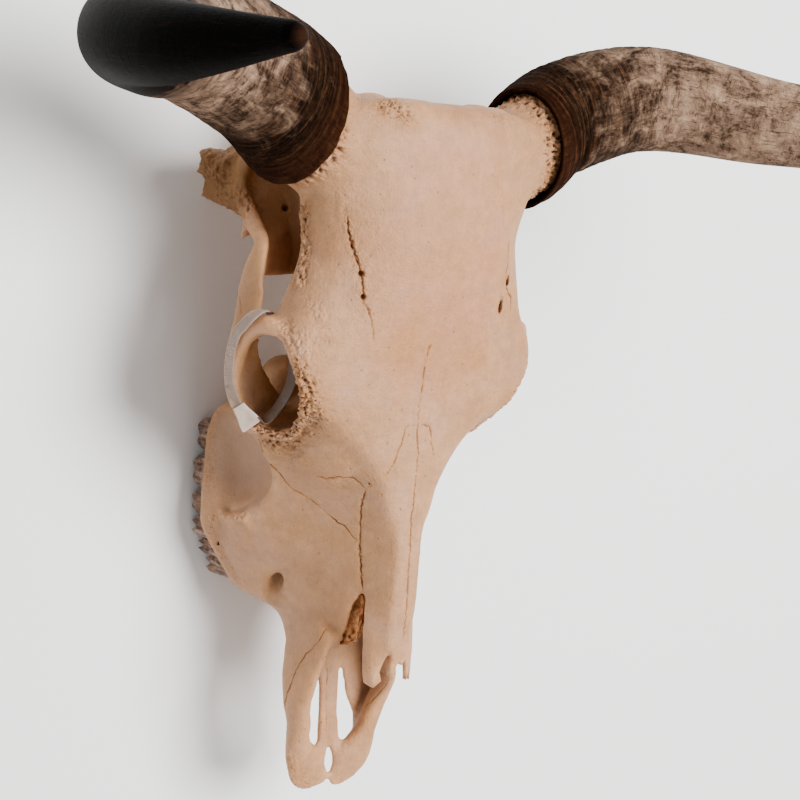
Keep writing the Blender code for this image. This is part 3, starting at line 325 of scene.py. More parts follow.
# Cracks and sutures of the bone: width and depth in mm, whether the other side has its own
# mirror image, and the points it runs through.
CRACKS = [
    (1.1, 1.3, False, [(-2, -159, 3), (-3, -170, 0), (-4, -184, -4), (-2, -197, -7), (-2, -210, -9),
                        (-2, -232, -10), (1, -250, -11), (0, -279, -12), (-1, -298, -13), (0, -315, -13),
                        (0, -335, -14), (1, -353, -15), (2, -373, -16), (3, -392, -19)]),
    (1.0, 1.0, False, [(2, -228, -10), (10, -231, -10), (13, -242, -11), (19, -258, -13)]),
    (1.0, 1.0, False, [(-3, -229, -10), (-12, -229, -10), (-14, -237, -11), (-17, -247, -12),
                       (-21, -258, -13), (-27, -267, -16)]),
    (1.0, 1.6, False, [(-55, -268, -55), (-50, -269, -49), (-45, -267, -39), (-39, -269, -32),
                       (-33, -276, -28)]),
    (0.6, 0.9, False, [(-50, -269, -49), (-53, -261, -44)]),
    (0.6, 0.9, False, [(-33, -276, -28), (-31, -271, -22)]),
    (1.3, 2.6, True, [(-33, -276, -28), (-32, -286, -32), (-29, -300, -37), (-27, -315, -39),
                      (-26, -325, -39), (-25, -340, -38), (-23, -353, -38)]),
    (0.9, 1.4, True, [(-92, -242, -79), (-85, -252, -84), (-78, -261, -85), (-72, -269, -82),
                      (-63, -281, -78), (-58, -284, -73), (-51, -290, -65), (-45, -296, -60),
                      (-38, -303, -54), (-33, -307, -48), (-29, -314, -44), (-27, -316, -40)]),
    (1.4, 2.0, False, [(-92, -242, -79), (-85, -252, -84), (-78, -261, -85), (-72, -269, -82)]),
    (0.9, 1.3, True, [(-30, -383, -67), (-35, -393, -69), (-38, -405, -77), (-41, -410, -81),
                      (-44, -420, -85), (-47, -432, -87), (-48, -441, -90), (-46, -455, -95)]),
    (1.4, 2.2, False, [(-79, -82, -5), (-77, -93, -5), (-75, -102, -3), (-72, -109, -2), (-68, -122, 0),
                       (-66, -131, 0), (-64, -140, 0)]),
    (2.1, 1.7, False, [(-77.5, -90, -5), (-75, -102, -3), (-72, -109, -2), (-69, -118, 0)]),
    (0.9, 1.2, False, [(-64, -140, 0), (-60, -147, 0), (-55, -159, 0), (-52, -173, -2)]),
    (1.3, 1.6, False, [(64, -92, 3), (66, -108, 1), (65, -120, 1), (69, -129, -1), (77, -136, -5),
                       (77, -147, -5)]),
    (0.8, 1.0, True, [(-117, -141, -75), (-118, -148, -71), (-119, -158, -65)]),
    (0.9, 1.0, False, [(28, -460, -90), (33, -447, -80), (39, -430, -70)]),
    (0.7, 1.0, False, [(-2, -424, -100), (-1.5, -438, -100), (-1.3, -454, -100), (-0.3, -470, -100),
                       (-0.4, -485, -100)]),
]

# Coarse, porous bone: how far it reaches in mm, how strong it is, the size of its lumps in mm,
# whether both sides have it, and the points it follows.
PORES = [
    (8, 1.4, 4.2, True, [(-101, -232, -67), (-94, -238, -60), (-88, -237, -47), (-89, -230, -37),
                         (-92, -221, -27), (-97, -212, -19), (-101, -203, -16), (-106, -185, -14)]),
    (13, 0.95, 3.6, True, [(-87, -245, -74), (-80, -248, -68), (-77, -243, -55), (-79, -233, -38),
                           (-87, -220, -22), (-94, -207, -15), (-99, -198, -13)]),
    (11, 0.7, 3.0, True, [(-84, -245, -68), (-76, -252, -63), (-68, -257, -58)]),
    (10, 0.55, 2.4, True, [(-113, -160, -27), (-109, -171, -18), (-104, -166, -14)]),
    (7, 1.5, 3.6, True, [(-95, -78, -33), (-92, -92, -34), (-93, -104, -32), (-95, -115, -30),
                         (-97, -128, -29)]),
    (9, 0.5, 3.2, True, [(-111, -160, -24), (-106, -172, -15), (-99, -176, -10), (-92, -170, -7)]),
    (9, 0.45, 3.0, True, [(-96, -142, -20), (-90, -158, -8), (-94, -184, -10)]),
    (15, 0.35, 2.6, True, [(-72, -22, 5), (-82, -46, 3), (-84, -80, -6)]),
    (7, 1.6, 3.4, False, [(-64, -9, 8), (-56, -5, 8), (-52, -8, 10), (-46, -14, 12)]),
    (7, 0.7, 3.0, False, [(37, -7, 12), (54, -5, 8), (58, -11, 10)]),
    (8, 0.5, 2.6, True, [(-76, -90, -4), (-66, -128, 0), (-62, -146, 0)]),
    (9, 0.55, 2.6, True, [(-80, -236, -158), (-80, -262, -160), (-80, -290, -160), (-78, -320, -158),
                         (-70, -345, -150), (-62, -362, -140)]),
    (7, 0.6, 2.8, True, [(-78, -308, -117), (-83, -310, -132), (-82, -315, -150)]),
    (21, 0.75, 5.4, True, [(-97, -52, -148), (-92, -64, -142), (-90, -74, -130), (-94, -82, -114)]),
    (14, 0.8, 5.0, True, [(-60, -20, -130), (-40, -10, -135), (-24, -12, -140)]),
    (12, 0.4, 2.6, True, [(-48, -215, -11), (-69, -212, -12), (-82, -203, -11), (-90, -189, -10)]),
    (9, 0.5, 2.6, True, [(-38, -494, -96), (-27, -508, -97), (-11, -518, -100)]),
]
# How coarse the left side's bone is, where the right side's is 1.
LEFT_PORES = 0.35
# The burr round each horn's core: how far it reaches, and the size of its lumps.
BURR_REACH = 17.0
BURR_LUMP = 4.4
# The muzzle's tips in front of this y keep this share of their length, inside the solids' box.
MUZZLE_TIPS_Y = -519
MUZZLE_TIPS_KEPT = 0.72

# Small holes for vessels: the middle of each mouth, its radius and its depth.
VESSEL_HOLES = [((-68, -121, 0), 1.9, 3.0), ((-65, -137, 0), 1.8, 3.0), ((-75, -103, -3), 0.9, 1.5),
                ((-53, -261, -45), 0.8, 1.2), ((-33, -272, -24), 1.1, 1.8), ((-62, -78, -102), 2.2, 4.0),
                ((62, -78, -102), 2.2, 4.0), ((68, -124, 0), 1.3, 2.5)]

# Ridges on both sides of the cheek, the ear and the temple: width and height in mm, and course.
RIDGES = [
    (4.0, 1.6, [(-92, -242, -79), (-80, -260, -86), (-71, -275, -88), (-72, -290, -98), (-75, -303, -108),
                (-80, -309, -120), (-83, -310, -134), (-82, -315, -152)]),
    (3.0, 3.2, [(-87, -37, -124), (-89, -41, -130), (-92, -45, -135), (-96, -50, -139), (-98, -55, -146)]),
    (3.2, 2.4, [(-97, -66, -30), (-94, -81, -36), (-92, -92, -35), (-94, -104, -32), (-96, -115, -30),
                (-99, -128, -29)]),
]
# The broad hollow behind the cheek's ridge: centre and radii, and its depth.
CHEEK_HOLLOW = ((-80, -262, -128), (34, 48, 44))
CHEEK_HOLLOW_DEPTH = 6.0

# What the bone's material reads at each point of its mesh.
BONE_MARKS = ("crack", "pit", "painted_shade", "cheek_shade", "rough", "rosy", "rim")
# Painted shade, warm brown and dark, in the bone's hollows and recesses: centre, radii and strength.
PAINTED_SHADE = [((72, -200, -66), (34, 38, 36), 1.0), ((58, -88, -84), (38, 60, 58), 0.68),
        ((101, -48, -154), (12, 13, 16), 1.0), ((14, -388, -84), (18, 72, 40), 0.25),
        ((53, -366, -108), (9, 18, 12), 0.55), ((50, -190, -120), (34, 66, 34), 1.0),
        ((12, -424, -103), (30, 40, 13), 0.25), ((98, -52, -140), (34, 50, 50), 1.0),
        ((114, -124, -84), (26, 74, 40), 0.3)]
# Painted shade, grey-brown, in the hollow of the cheek: centre and radii.
CHEEK_SHADE = ((84, -258, -124), (30, 50, 42))
# The swelling of the bone in front of the eye socket: centre and radii, and its height.
TEAR_BONE = ((58, -262, -48), (22, 24, 24))
TEAR_BONE_HEIGHT = 3.0
# How far out, in mm, the strap of the tie is darkened by painted shade in the eye socket.
STRAP_SHADE_FROM = 112.0
# The middle of the forehead, where the bone is rosy rather than tan: centre and radii.
ROSY = ((0, -110, 0), (78, 130, 60))

# The studio: the floor's size, what the lights face, and each light's place, size and watts.
FLOOR_SIZE = 9
LIT_POINT = (0, 0, 0.15)
LIGHTS = {
    "key": ((0.74, 0.58, 2.68), 1.8, 214),
    "fill": ((-2.0, -1.2, 1.6), 2.4, 5),
    "front": ((0.2, -2.4, 1.8), 1.8, 22),
}
WORLD_LIGHT = 0.5
# The photograph's camera, solved from the skull's points: its turn is an axis times an angle.
CAMERA_PLACE = (-0.7539, 0.1349, 1.0834)
CAMERA_TURN = (0.1115, 0.6818, -0.0189)
CAMERA_LENS = 73.809


def round_angles(count):
    """Evenly spaced angles, once round."""
    return [2 * math.pi * k / count for k in range(count)]


def smooth_curve(points, per_span, closed=False):
    """A Catmull-Rom curve through the points, with per_span steps between each pair."""
    points = [Vector(p) for p in points]
    count = len(points)
    spans = count if closed else count - 1
    result = []
    for i in range(spans):
        if closed:
            a, b, c, d = (points[(i + k) % count] for k in (-1, 0, 1, 2))
        else:
            a, b, c, d = (points[min(max(i + k, 0), count - 1)] for k in (-1, 0, 1, 2))
        for step in range(per_span):
            t = step / per_span
            result.append(
                0.5 * (2 * b + (c - a) * t + (2 * a - 5 * b + 4 * c - d) * t**2
                       + (3 * b - a - 3 * c + d) * t**3)
            )
    if not closed:
        result.append(points[-1])
    return result


def ring_rows(bm, rings, closed=False):
    """Makes the rings' points and the faces from ring to ring, and gives the rows of points."""
    rows = [[bm.verts.new(Vector(p) * MM) for p in ring] for ring in rings]
    count = len(rows[0])
    for low, high in zip(rows, rows[1:] + rows[:1] if closed else rows[1:]):
        for i in range(count):
            j = (i + 1) % count
            bm.faces.new((low[i], low[j], high[j], high[i]))
    return rows


def loft_mesh(rings):
    """A closed bmesh through rings of equal length, capped at each end."""
    bm = bmesh.new()
    rows = ring_rows(bm, rings)
    caps = [bm.faces.new(rows[0]), bm.faces.new(rows[-1])]
    bmesh.ops.triangulate(bm, faces=caps)
    bmesh.ops.recalc_face_normals(bm, faces=bm.faces[:])
    return bm


def body_rings(stations, per_station=3, per_point=3):
    """Rings of a midline body. A station is (y at its top, y at its bottom, half outline)."""
    flat = []
    for top_y, bottom_y, half in stations:
        high, low = half[0][1], min(z for _, z in half)
        right = []
        for x, z in half:
            share = (high - z) / (high - low)
            right.append((x, top_y + (bottom_y - top_y) * share, z))
        left = [(-x, y, z) for x, y, z in right[-2:0:-1]]
        flat.append([c for p in smooth_curve(right + left, per_point, True) for c in p])
    return as_points(flat, per_station)


def as_points(flat, per_station):
    """Rings held as flat lists of numbers, smoothed along the body and split into points."""
    size = len(flat[0])
    columns = []
    for k in range(0, size, 3):
        columns.append(smooth_curve([row[k:k + 3] for row in flat], per_station))
    return [list(ring) for ring in zip(*columns)]


def bar_rings(path, around=14, per_point=4, side=1, up=(0, 0, 1)):
    """Oval rings along a path of (x, y, z, half thickness, half height, roll in degrees)."""
    steps = smooth_curve([p[:3] for p in path], per_point)
    sizes = smooth_curve([p[3:6] for p in path], per_point)
    rings = []
    for i, (centre, size) in enumerate(zip(steps, sizes)):
        along = (steps[min(i + 1, len(steps) - 1)] - steps[max(i - 1, 0)]).normalized()
        across = along.cross(Vector(up)).normalized()
        rise = across.cross(along)
        roll = math.radians(size[2])
        ring = []
        for angle in round_angles(around):
            u = size[0] * math.cos(angle)
            v = size[1] * math.sin(angle)
            offset = across * (u * math.cos(roll) - v * math.sin(roll))
            offset += rise * (u * math.sin(roll) + v * math.cos(roll))
            point = centre + offset
            ring.append((point.x * side, point.y, point.z))
        rings.append(ring)
    return rings


def slab_mesh(stations, side, per_station=3):
    """A closed body through small outlines of (x, z) at each y."""
    flat = [[c for x, z in outline for c in (x * side, y, z)] for y, outline in stations]
    return loft_mesh(as_points(flat, per_station))


def mirrored_slab(stations):
    """A closed body across the midline through half outlines of (x, z) at each y."""
    whole = []
    for y, half in stations:
        whole.append((y, half + [(-x, z) for x, z in half[-2:0:-1]]))
    return slab_mesh(whole, 1)


def prism_mesh(outline, low, high):
    """A closed prism: an outline of (x, y) from one height to another."""
    return loft_mesh([[(x, y, z) for x, y in outline] for z in (low, high)])


def egg_mesh(centre, radii, side=1, segments=20):
    """A closed egg of three radii."""
    bm = bmesh.new()
    bmesh.ops.create_uvsphere(bm, u_segments=segments, v_segments=segments // 2, radius=1)
    for v in bm.verts:
        v.co = Vector((side * (centre[0] + v.co.x * radii[0]),
                       centre[1] + v.co.y * radii[1], centre[2] + v.co.z * radii[2])) * MM
    bmesh.ops.recalc_face_normals(bm, faces=bm.faces[:])
    return bm


def new_object(name, bm):
    """A working object in the skull's own frame, removed when the bone is done."""
    mesh = bpy.data.meshes.new(name)
    bm.to_mesh(mesh)
    bm.free()
    obj = bpy.data.objects.new(name, mesh)
    bpy.context.scene.collection.objects.link(obj)
    return obj


def baked(obj):
    """The object's mesh as its modifiers leave it."""
    bm = bmesh.new()
    bm.from_object(obj, bpy.context.evaluated_depsgraph_get())
    return bm


def joined(meshes):
    """Several closed bmeshes as one, still overlapping."""
    whole = bmesh.new()
    for bm in meshes:
        mesh = bpy.data.meshes.new("joining")
        bm.to_mesh(mesh)
        bm.free()
        whole.from_mesh(mesh)
        bpy.data.meshes.remove(mesh)
    return whole


def cut(obj, cutter):
    """Takes the cutter's solid away from the object's."""
    modifier = obj.modifiers.new(cutter.name, "BOOLEAN")
    modifier.operation = "DIFFERENCE"
    modifier.object = cutter


def horn_length_shares(points):
    """The share of the whole length at each point."""
    lengths = [0.0]
    for a, b in zip(points, points[1:]):
        lengths.append(lengths[-1] + (b - a).length)
    return [length / lengths[-1] for length in lengths]


def horn_path(word, end, shrink, per_point=6):
    """The horn's line up to a share of its length, with its radius made smaller by shrink."""
    centres = smooth_curve([p[:3] for p in HORN_LINES[word]], per_point)
    radii = smooth_curve([(p[3], 0, 0) for p in HORN_LINES[word]], per_point)
    path = []
    for centre, radius, share in zip(centres, radii, horn_length_shares(centres)):
        if share > end:
            break
        path.append((centre, radius.x - shrink, share))
    return path


def horn_rings(path, around, word, swell=None):
    """Round rings square to the horn's line, leaning with the rim near the base."""
    side = SIDES[word]
    lean = RIM_LEAN[word]
    rings = []
    points = [p[0] for p in path]
    for i, (centre, radius, share) in enumerate(path):
        along = (points[min(i + 1, len(points) - 1)] - points[max(i - 1, 0)]).normalized()
        across = along.cross(Vector((0, 1, 0))).normalized()
        rise = across.cross(along)
        fade = max(0.0, 1 - share / LEAN_FADES_BY)
        ring = []
        for angle in round_angles(around):
            reach = radius + (swell(share, angle) if swell else 0.0)
            point = centre + reach * (across * math.cos(angle) + rise * math.sin(angle))
            push = lean[0] + lean[1] * math.cos(angle) + lean[2] * math.sin(angle)
            point += along * push * fade
            ring.append((point.x * side, point.y, point.z))
        rings.append(ring)
    return rings


def horn_core(word):
    """The bony core: it starts inside the temple and ends in a blunt point in the sheath."""
    path = horn_path(word, CORE_END, SHEATH_WALL + CORE_CLEARANCE)
    last, radius, share = path[-1]
    along = (last - path[-2][0]).normalized()
    path.append((last + along * radius * 0.5, radius * 0.75, share))
    path.append((last + along * radius * 0.8, 3.0, share))
    root = (Vector(CORE_ROOT[:3]), CORE_ROOT[3], 1.0)
    return loft_mesh(horn_rings([root] + path, CORE_SIDES, word))


def bone_forms():
    """All the overlapping closed forms that are fused into the bone."""
    forms = []
    for word, side in SIDES.items():
        rim = [(x, y, z, r, r, 0) for x, y, z, r in ORBIT_RIM + ORBIT_RIM[:2]]
        for path in (rim, CHEEK_ARCH, PREMAXILLA + MUZZLE[word], PALATE_BAR[word],
                     PALATE_SHELF[word], PTERYGOID, PTERYGOID_HOOK, POST_BAR):
            forms.append(loft_mesh(bar_rings(path, side=side)))
        for stations in (TEMPLE_FLOOR, SOCKET_FLOOR):
            forms.append(slab_mesh(stations, side))
        for path in (JUGULAR, EAR_TUBE, EAR_BULLA, EAR_SPUR):
            forms.append(loft_mesh(bar_rings(path, side=side, up=(0, 1, 0))))
        forms.append(horn_core(word))
        for centre, radii in SWELLINGS:
            forms.append(egg_mesh(centre, radii, side))
    forms.append(egg_mesh(*POLL_KNOB))
    forms.append(mirrored_slab(NASAL_PLATE))
    forms.append(mirrored_slab(PALATE_FRONT))
    return forms


def socket_hollow(side):
    """The eye socket's cutter, from outside the rim to the inner wall."""
    rim = smooth_curve([p[:3] for p in ORBIT_RIM], 2, True)
    thick = smooth_curve([(p[3], 0, 0) for p in ORBIT_RIM], 2, True)
    middle = sum(rim, Vector()) / len(rim)
    opening = [p + (middle - p).normalized() * (r.x - 0.5) for p, r in zip(rim, thick)]
    rings = []
    for far, large in SOCKET_DEPTHS:
        centre = middle + Vector(SOCKET_WAY) * far
        ring = [centre + (p - middle) * large for p in opening]
        rings.append([(p.x * side, p.y, p.z) for p in ring])
    return loft_mesh(rings)


def remesh(obj, name):
    """Fuses what overlaps into one even skin."""
    modifier = obj.modifiers.new(name, "REMESH")
    modifier.mode = "VOXEL"
    modifier.voxel_size = FUSE_GRID
    modifier.use_smooth_shade = True


def tooth_places():
    """Each tooth's name with its front and back y, width and outer x."""
    places = []
    front = TOOTH_ROW_FRONT
    for name, length, width, outer in TEETH:
        places.append((name, front, front + length, width, outer))
        front += length + TOOTH_GAP
    return places


def tooth_trough(side):
    """The cutter for one side's row of tooth sockets."""
    outer_edge, inner_edge = [], []
    for _, front, back, width, outer in tooth_places():
        ends = (front - SOCKET_GAP * 0.7, back + SOCKET_GAP * 0.7)
        outer_edge += [(outer + SOCKET_GAP, y) for y in ends]
        inner_edge += [(outer - width - SOCKET_GAP, y) for y in ends]
    outline = outer_edge + inner_edge[::-1]
    return prism_mesh([(x * side, y) for x, y in outline], -200, TOOTH_ROOT_Z + 0.6)


def across_strap(centre, wide, along, half_width, half_thick, section):
    """A ring across the strap, from a section of (share of width, share of thickness)."""
    wide = (wide - along * wide.dot(along)).normalized()
    thick = along.cross(wide)
    points = [centre + wide * half_width * a + thick * half_thick * b for a, b in section]
    return [(-p.x, p.y, p.z) for p in points]


def place_tree(places):
    tree = kdtree.KDTree(len(places))
    for i, place in enumerate(places):
        tree.insert(place, i)
    tree.balance()
    return tree


def curve_tree(points, per_span):
    return place_tree(smooth_curve(points, per_span))


def both_sides(points, both):
    """The points, and their mirror image across the midline where both sides have them."""
    return [points] + ([[(-x, y, z) for x, y, z in points]] if both else [])


def ragged(points, surface):
    """A crack's course: the curve through the points, jittered and laid on the bone."""
    course = []
    for place in smooth_curve(points, CRACK_STEPS):
        sway = noise.noise_vector(place * 0.35) * 0.9 + noise.noise_vector(place * 1.3) * 0.35
        course.append(surface.find_nearest((place + sway) * MM)[0] / MM)
    return course


def crack_tree(bm):
    """All the cracks' courses, with the width, depth and shade at each of their points."""
    surface = BVHTree.FromBMesh(bm)
    spots = []
    for width, depth, both, points in CRACKS:
        for side in both_sides(points, both):
            course = ragged(side, surface)
            for i, place in enumerate(course):
                ends = min(1.0, i / CRACK_ENDS, (len(course) - 1 - i) / CRACK_ENDS)
                swell = (0.95 + 0.45 * noise.noise(place * 0.16)) * (0.35 + 0.65 * ends)
                shade = (0.85 + 0.5 * noise.noise(place * 0.09)) * (0.45 + 0.35 * width)
                shade = min(0.74, shade * (0.5 + 0.5 * ends))
                spots.append((place, max(0.3, width * 0.56 * swell), depth * 0.6 * swell, shade))
    return place_tree([spot[0] for spot in spots]), spots


def refine(bm, reach_of, longest, rounds):
    """Splits the edges longer than this where reach_of, given a place in mm, says so."""
    for _ in range(rounds):
        edges = []
        for edge in bm.edges:
            length = edge.calc_length() / MM
            if length > longest:
                middle = (edge.verts[0].co + edge.verts[1].co) / 2 / MM
                if reach_of(middle, length / 2):
                    edges.append(edge)
        bmesh.ops.subdivide_edges(bm, edges=edges, cuts=1)
        bmesh.ops.triangulate(bm, faces=[f for f in bm.faces if len(f.verts) > 3])


def egg_share(place, centre, radii):
    """1 at the middle of an egg, falling to 0 at its skin. Either side's egg counts."""
    x = (abs(place.x) - abs(centre[0])) / radii[0]
    y = (place.y - centre[1]) / radii[1]
    z = (place.z - centre[2]) / radii[2]
    return max(0.0, 1 - x * x - y * y - z * z)


def eased(share):
    """0 below 0, 1 above 1, and a smooth rise between."""
    share = max(0.0, min(1.0, share))
    return share * share * (3 - 2 * share)


def rim_ring(word):
    """The ring of the horn's core at the sheath's rim."""
    path = horn_path(word, 0.02, SHEATH_WALL + CORE_CLEARANCE)
    return horn_rings(path[:2], 60, word)[0]


def lumps(place, size):
    """Rounded lumps of about this size: their height, the crevices between, and odd pits that sink far in."""
    sway = noise.noise_vector(place * (1.3 / size)) * 0.55 + noise.noise_vector(place * (3.1 / size)) * 0.2
    near = noise.voronoi(place / size + sway)[0]
    crevice = eased(1 - (near[1] - near[0]) / 0.24) * eased(0.75 + 1.6 * noise.noise(place * (0.9 / size)))
    spots = noise.voronoi(place / (size * 1.1) + sway * 0.4 + Vector((7, 3, 5)))[0]
    pit = eased((0.4 - spots[0]) / 0.15)
    return 0.5 - near[0] + 0.35 * noise.noise(place * (1.9 / size)), crevice, pit


def large_forms(bm):
    """The ridges, the hollow of the cheek, the tear bone's swelling, and slow unevenness."""
    ridges = [(curve_tree(side, 12), width, height)
              for width, height, points in RIDGES for side in both_sides(points, True)]
    bm.normal_update()
    for v in bm.verts:
        place = v.co / MM
        lift = 0.5 * noise.noise(place * 0.045) + 0.22 * noise.noise(place * 0.17)
        for tree, width, height in ridges:
            lift += height * math.exp(-(tree.find(place)[2] / width) ** 2)
        inside = egg_share(place, *CHEEK_HOLLOW)
        fade = eased((-236 - place.y) / 14) * eased((place.z + 148) / 14)
        outward = max(0.0, v.normal.x * (1 if place.x > 0 else -1))
        lift -= CHEEK_HOLLOW_DEPTH * eased(inside / 0.24) * (1 - 0.65 * inside) * fade * outward
        lift += TEAR_BONE_HEIGHT * eased(1.6 * egg_share(place, *TEAR_BONE))
        v.co += v.normal * lift * MM


def curvature(bm):
    """How convex the surface is at each vertex, -1 in hollows to 1 on edges, smoothed."""
    bm.normal_update()
    values = []
    for v in bm.verts:
        ends = [e.other_vert(v).co for e in v.link_edges]
        middle = sum(ends, Vector()) / len(ends)
        length = sum((end - v.co).length for end in ends) / len(ends) / MM
        bend = (v.co - middle).dot(v.normal) / MM * 2 / max(length, 0.3) ** 2
        values.append(max(-1.0, min(1.0, bend / 0.12)))
    bm.verts.index_update()
    for _ in range(4):
        values = [(values[v.index] + sum(values[e.other_vert(v).index] for e in v.link_edges)) /
                  (1 + len(v.link_edges)) for v in bm.verts]
    return values


def pore_zones():
    """Each strip of porous bone: its reach, strength, size of lumps and course."""
    zones = []
    for reach, strength, size, both, points in PORES:
        for side, part in zip(both_sides(points, both), (1.0, LEFT_PORES)):
            zones.append((reach, strength * part, size, curve_tree(side, 8)))
    return zones


def sculpt(bm):
    """Large forms, cracks, pores, holes and burrs, with the marks that colour them."""
    large_forms(bm)
    zones = pore_zones()
    burrs = [curve_tree(rim_ring(word), 2) for word in SIDES]
    cracks, spots = crack_tree(bm)
    holes = [(Vector(place), radius, depth) for place, radius, depth in VESSEL_HOLES]
    coarse = [(tree, reach * 1.05) for reach, strength, _, tree in zones if strength > 0.4]
    coarse = [(tree, BURR_REACH - 3) for tree in burrs] + coarse

    def near_pores(place, _):
        return any(tree.find(place)[2] < reach for tree, reach in coarse)

    def near_crack(place, half):
        if any((place - hole).length < radius * 1.6 + half for hole, radius, _ in holes):
            return True
        return cracks.find(place)[2] < 1.4 + half

    refine(bm, near_pores, PORE_EDGE, 2)
    refine(bm, near_crack, CRACK_EDGE, 3)
    bends = curvature(bm)

    marks = {name: bm.verts.layers.float.new(name) for name in BONE_MARKS}
    moved = []
    for v, bend in zip(bm.verts, bends):
        place = v.co / MM
        _, index, gap = cracks.find(place)
        width, depth, shade = spots[index][1:]
        groove = math.exp(-(gap / width) ** 2)
        halo = math.exp(-(gap / (width * 4)) ** 2)
        lift = 0.1 * halo - depth * groove
        crack = (groove + 0.18 * halo) * shade
        pitted = rough = 0.0
        for reach, strength, size, tree in zones:
            gap = tree.find(place)[2]
            if gap < reach * 3:
                rough = max(rough, strength * math.exp(-(gap / (reach * 1.3)) ** 2))
                share = strength * math.exp(-(gap / (reach * 0.7)) ** 2)
                if share > 0.1:
                    height, crevice, pit = lumps(place, size)
                    lift += min(1.0, share) * size * (0.8 * height - 0.15 * crevice - 0.35 * pit)
                    pitted = max(pitted, share * max(0.6 * crevice, pit))
        for tree in burrs:
            gap = tree.find(place)[2]
            rough = max(rough, 0.8 * math.exp(-(gap / 30) ** 2))
            share = math.exp(-(max(0.0, gap - 5) / (BURR_REACH * 0.5)) ** 2)
            if share > 0.05:
                height, crevice, pit = lumps(place, BURR_LUMP)
                lift += share * (3.4 * height - 0.8 * crevice - 3.0 * pit)
                pitted = max(pitted, share * max(0.6 * crevice, 1.5 * pit))
        for hole, radius, depth in holes:
            gap = (place - hole).length
            if gap < radius * 1.8:
                share = eased(1.5 - gap / radius)
                lift -= depth * share
                crack = max(crack, share)
        v[marks["crack"]] = min(1.0, crack)
        v[marks["pit"]] = min(1.0, pitted)
        # painted shade: how strongly the bone is darkened warm brown in its hollows
        v[marks["painted_shade"]] = max(most * min(1.0, 1.9 * egg_share(place, centre, radii))
                               for centre, radii, most in PAINTED_SHADE)
        # painted shade: how strongly the cheek's hollow is greyed, towards the muzzle from y = -232
        v[marks["cheek_shade"]] = min(1.0, 2.2 * egg_share(place, *CHEEK_SHADE)) if place.y < -232 else 0.0
        v[marks["rough"]] = min(1.0, rough)
        v[marks["rosy"]] = eased(1.4 * egg_share(place, *ROSY)) if place.z > -30 else 0.0
        # the curvature, which the bone's material turns into painted shade in hollows and painted highlights
        # on edges
        v[marks["rim"]] = bend
        moved.append(v.normal * lift * MM)
    start = MUZZLE_TIPS_Y * MM
    for v, shift in zip(bm.verts, moved):
        v.co += shift
        v.co.y = max(v.co.y, start + MUZZLE_TIPS_KEPT * (v.co.y - start))


def fused_bone():
    """The bone's mesh, made from the same forms as the CAD part on a finer grid."""
    body = new_object("fusing", loft_mesh(body_rings(CRANIUM, 4, 4)))
    cut(body, new_object("nose_hollow", loft_mesh(body_rings(NOSE_HOLLOW))))
    notch = [[(x, y, z) for y, z in NOSE_NOTCH] for x in (-NOTCH_REACH, NOTCH_REACH)]
    cut(body, new_object("nose_notch", loft_mesh(notch)))
    opened = baked(body)
    body.modifiers.clear()
    joined([opened] + bone_forms()).to_mesh(body.data)
    remesh(body, "fuse")
    hollows = []
    for side in (-1, 1):
        hollows.append(socket_hollow(side))
        hollows.append(loft_mesh(bar_rings(TEMPLE_RECESS, side=side)))
        hollows.append(loft_mesh(bar_rings(EAR_HOLE, side=side, up=(0, 1, 0))))
    hollows.append(loft_mesh(bar_rings(NAPE_HOLE)))
    hollows.append(loft_mesh(bar_rings(THROAT)))
    cut(body, new_object("hollows", joined(hollows)))
    remesh(body, "even_out")
    smooth = body.modifiers.new("smooth", "SMOOTH")
    smooth.factor = 0.5
    smooth.iterations = SMOOTH_PASSES
    pits = [prism_mesh([(-40, -380)] + NASAL_EDGE + [(40, -380), (40, -440), (-40, -440)], *NASAL_TRIM)]
    for side in (-1, 1):
        pits.append(tooth_trough(side))
        pits += [egg_mesh(centre, radii, side, 16) for centre, radii in SUPRAORBITAL_PITS]
        pits.append(loft_mesh(bar_rings(CHEEK_FORAMEN, side=side)))
    cut(body, new_object("pits", joined(pits)))
    thin = body.modifiers.new("thin", "DECIMATE")
    thin.ratio = THINNED_SHARE
    whole = baked(body)
    for name in ("fusing", "nose_hollow", "nose_notch", "hollows", "pits"):
        bpy.data.objects.remove(bpy.data.objects[name])
    return whole


def thinned(bm):
    """The mesh under the limit of triangles for one piece, its flat parts thinned most."""
    whole = new_object("thinning", bm)
    thin = whole.modifiers.new("thin", "DECIMATE")
    thin.ratio = MOST_TRIANGLES / len(whole.data.polygons)
    fewer = baked(whole)
    bpy.data.objects.remove(whole)
    flaps = [face for face in fewer.faces if sum(edge.is_boundary for edge in face.edges) > 1]
    bmesh.ops.delete(fewer, geom=flaps, context="FACES")
    return fewer


def growth(word):
    """How far a horn's surface stands above its plain cone, in mm, at a share and an angle."""
    shift = 40.0 * SIDES[word]

    def swell(share, angle):
        s = share * HORN_LENGTH
        x, y = math.cos(angle), math.sin(angle)
        wave = s + 3.0 * noise.noise(Vector((x * 0.9 + shift, y * 0.9, s * 0.03)))
        old = max(0.0, min(1.0, (0.36 - share) / 0.24))
        ridge = 1 - abs(2 * noise.noise(Vector((shift + 0.15 * x, 0.15 * y, wave * 0.21))))
        fine = noise.noise(Vector((shift + 0.4 * x, 0.4 * y, wave * 0.62)))
        lump = noise.noise(Vector((x * 0.8, y * 0.8 + shift, s * 0.022)))
        lip = math.exp(-(s / 2.5) ** 2) * (0.3 + noise.noise(Vector((x * 7, y * 7 + shift, 0))))
        rings = old * (0.9 * (ridge - 0.75) + 0.45 * fine)
        return rings + 0.5 * lump + 0.7 * lip - 0.8 - 1.3 * eased((share - 0.8) / 0.2)

    return swell


def tone_at(word, share):
    """How far along its colours a horn is at this share of its length."""
    stops = TONES[word]
    for (low, first), (high, last) in zip(stops, stops[1:]):
        if share <= high:
            return first + (last - first) * (share - low) / (high - low)
    return 1.0


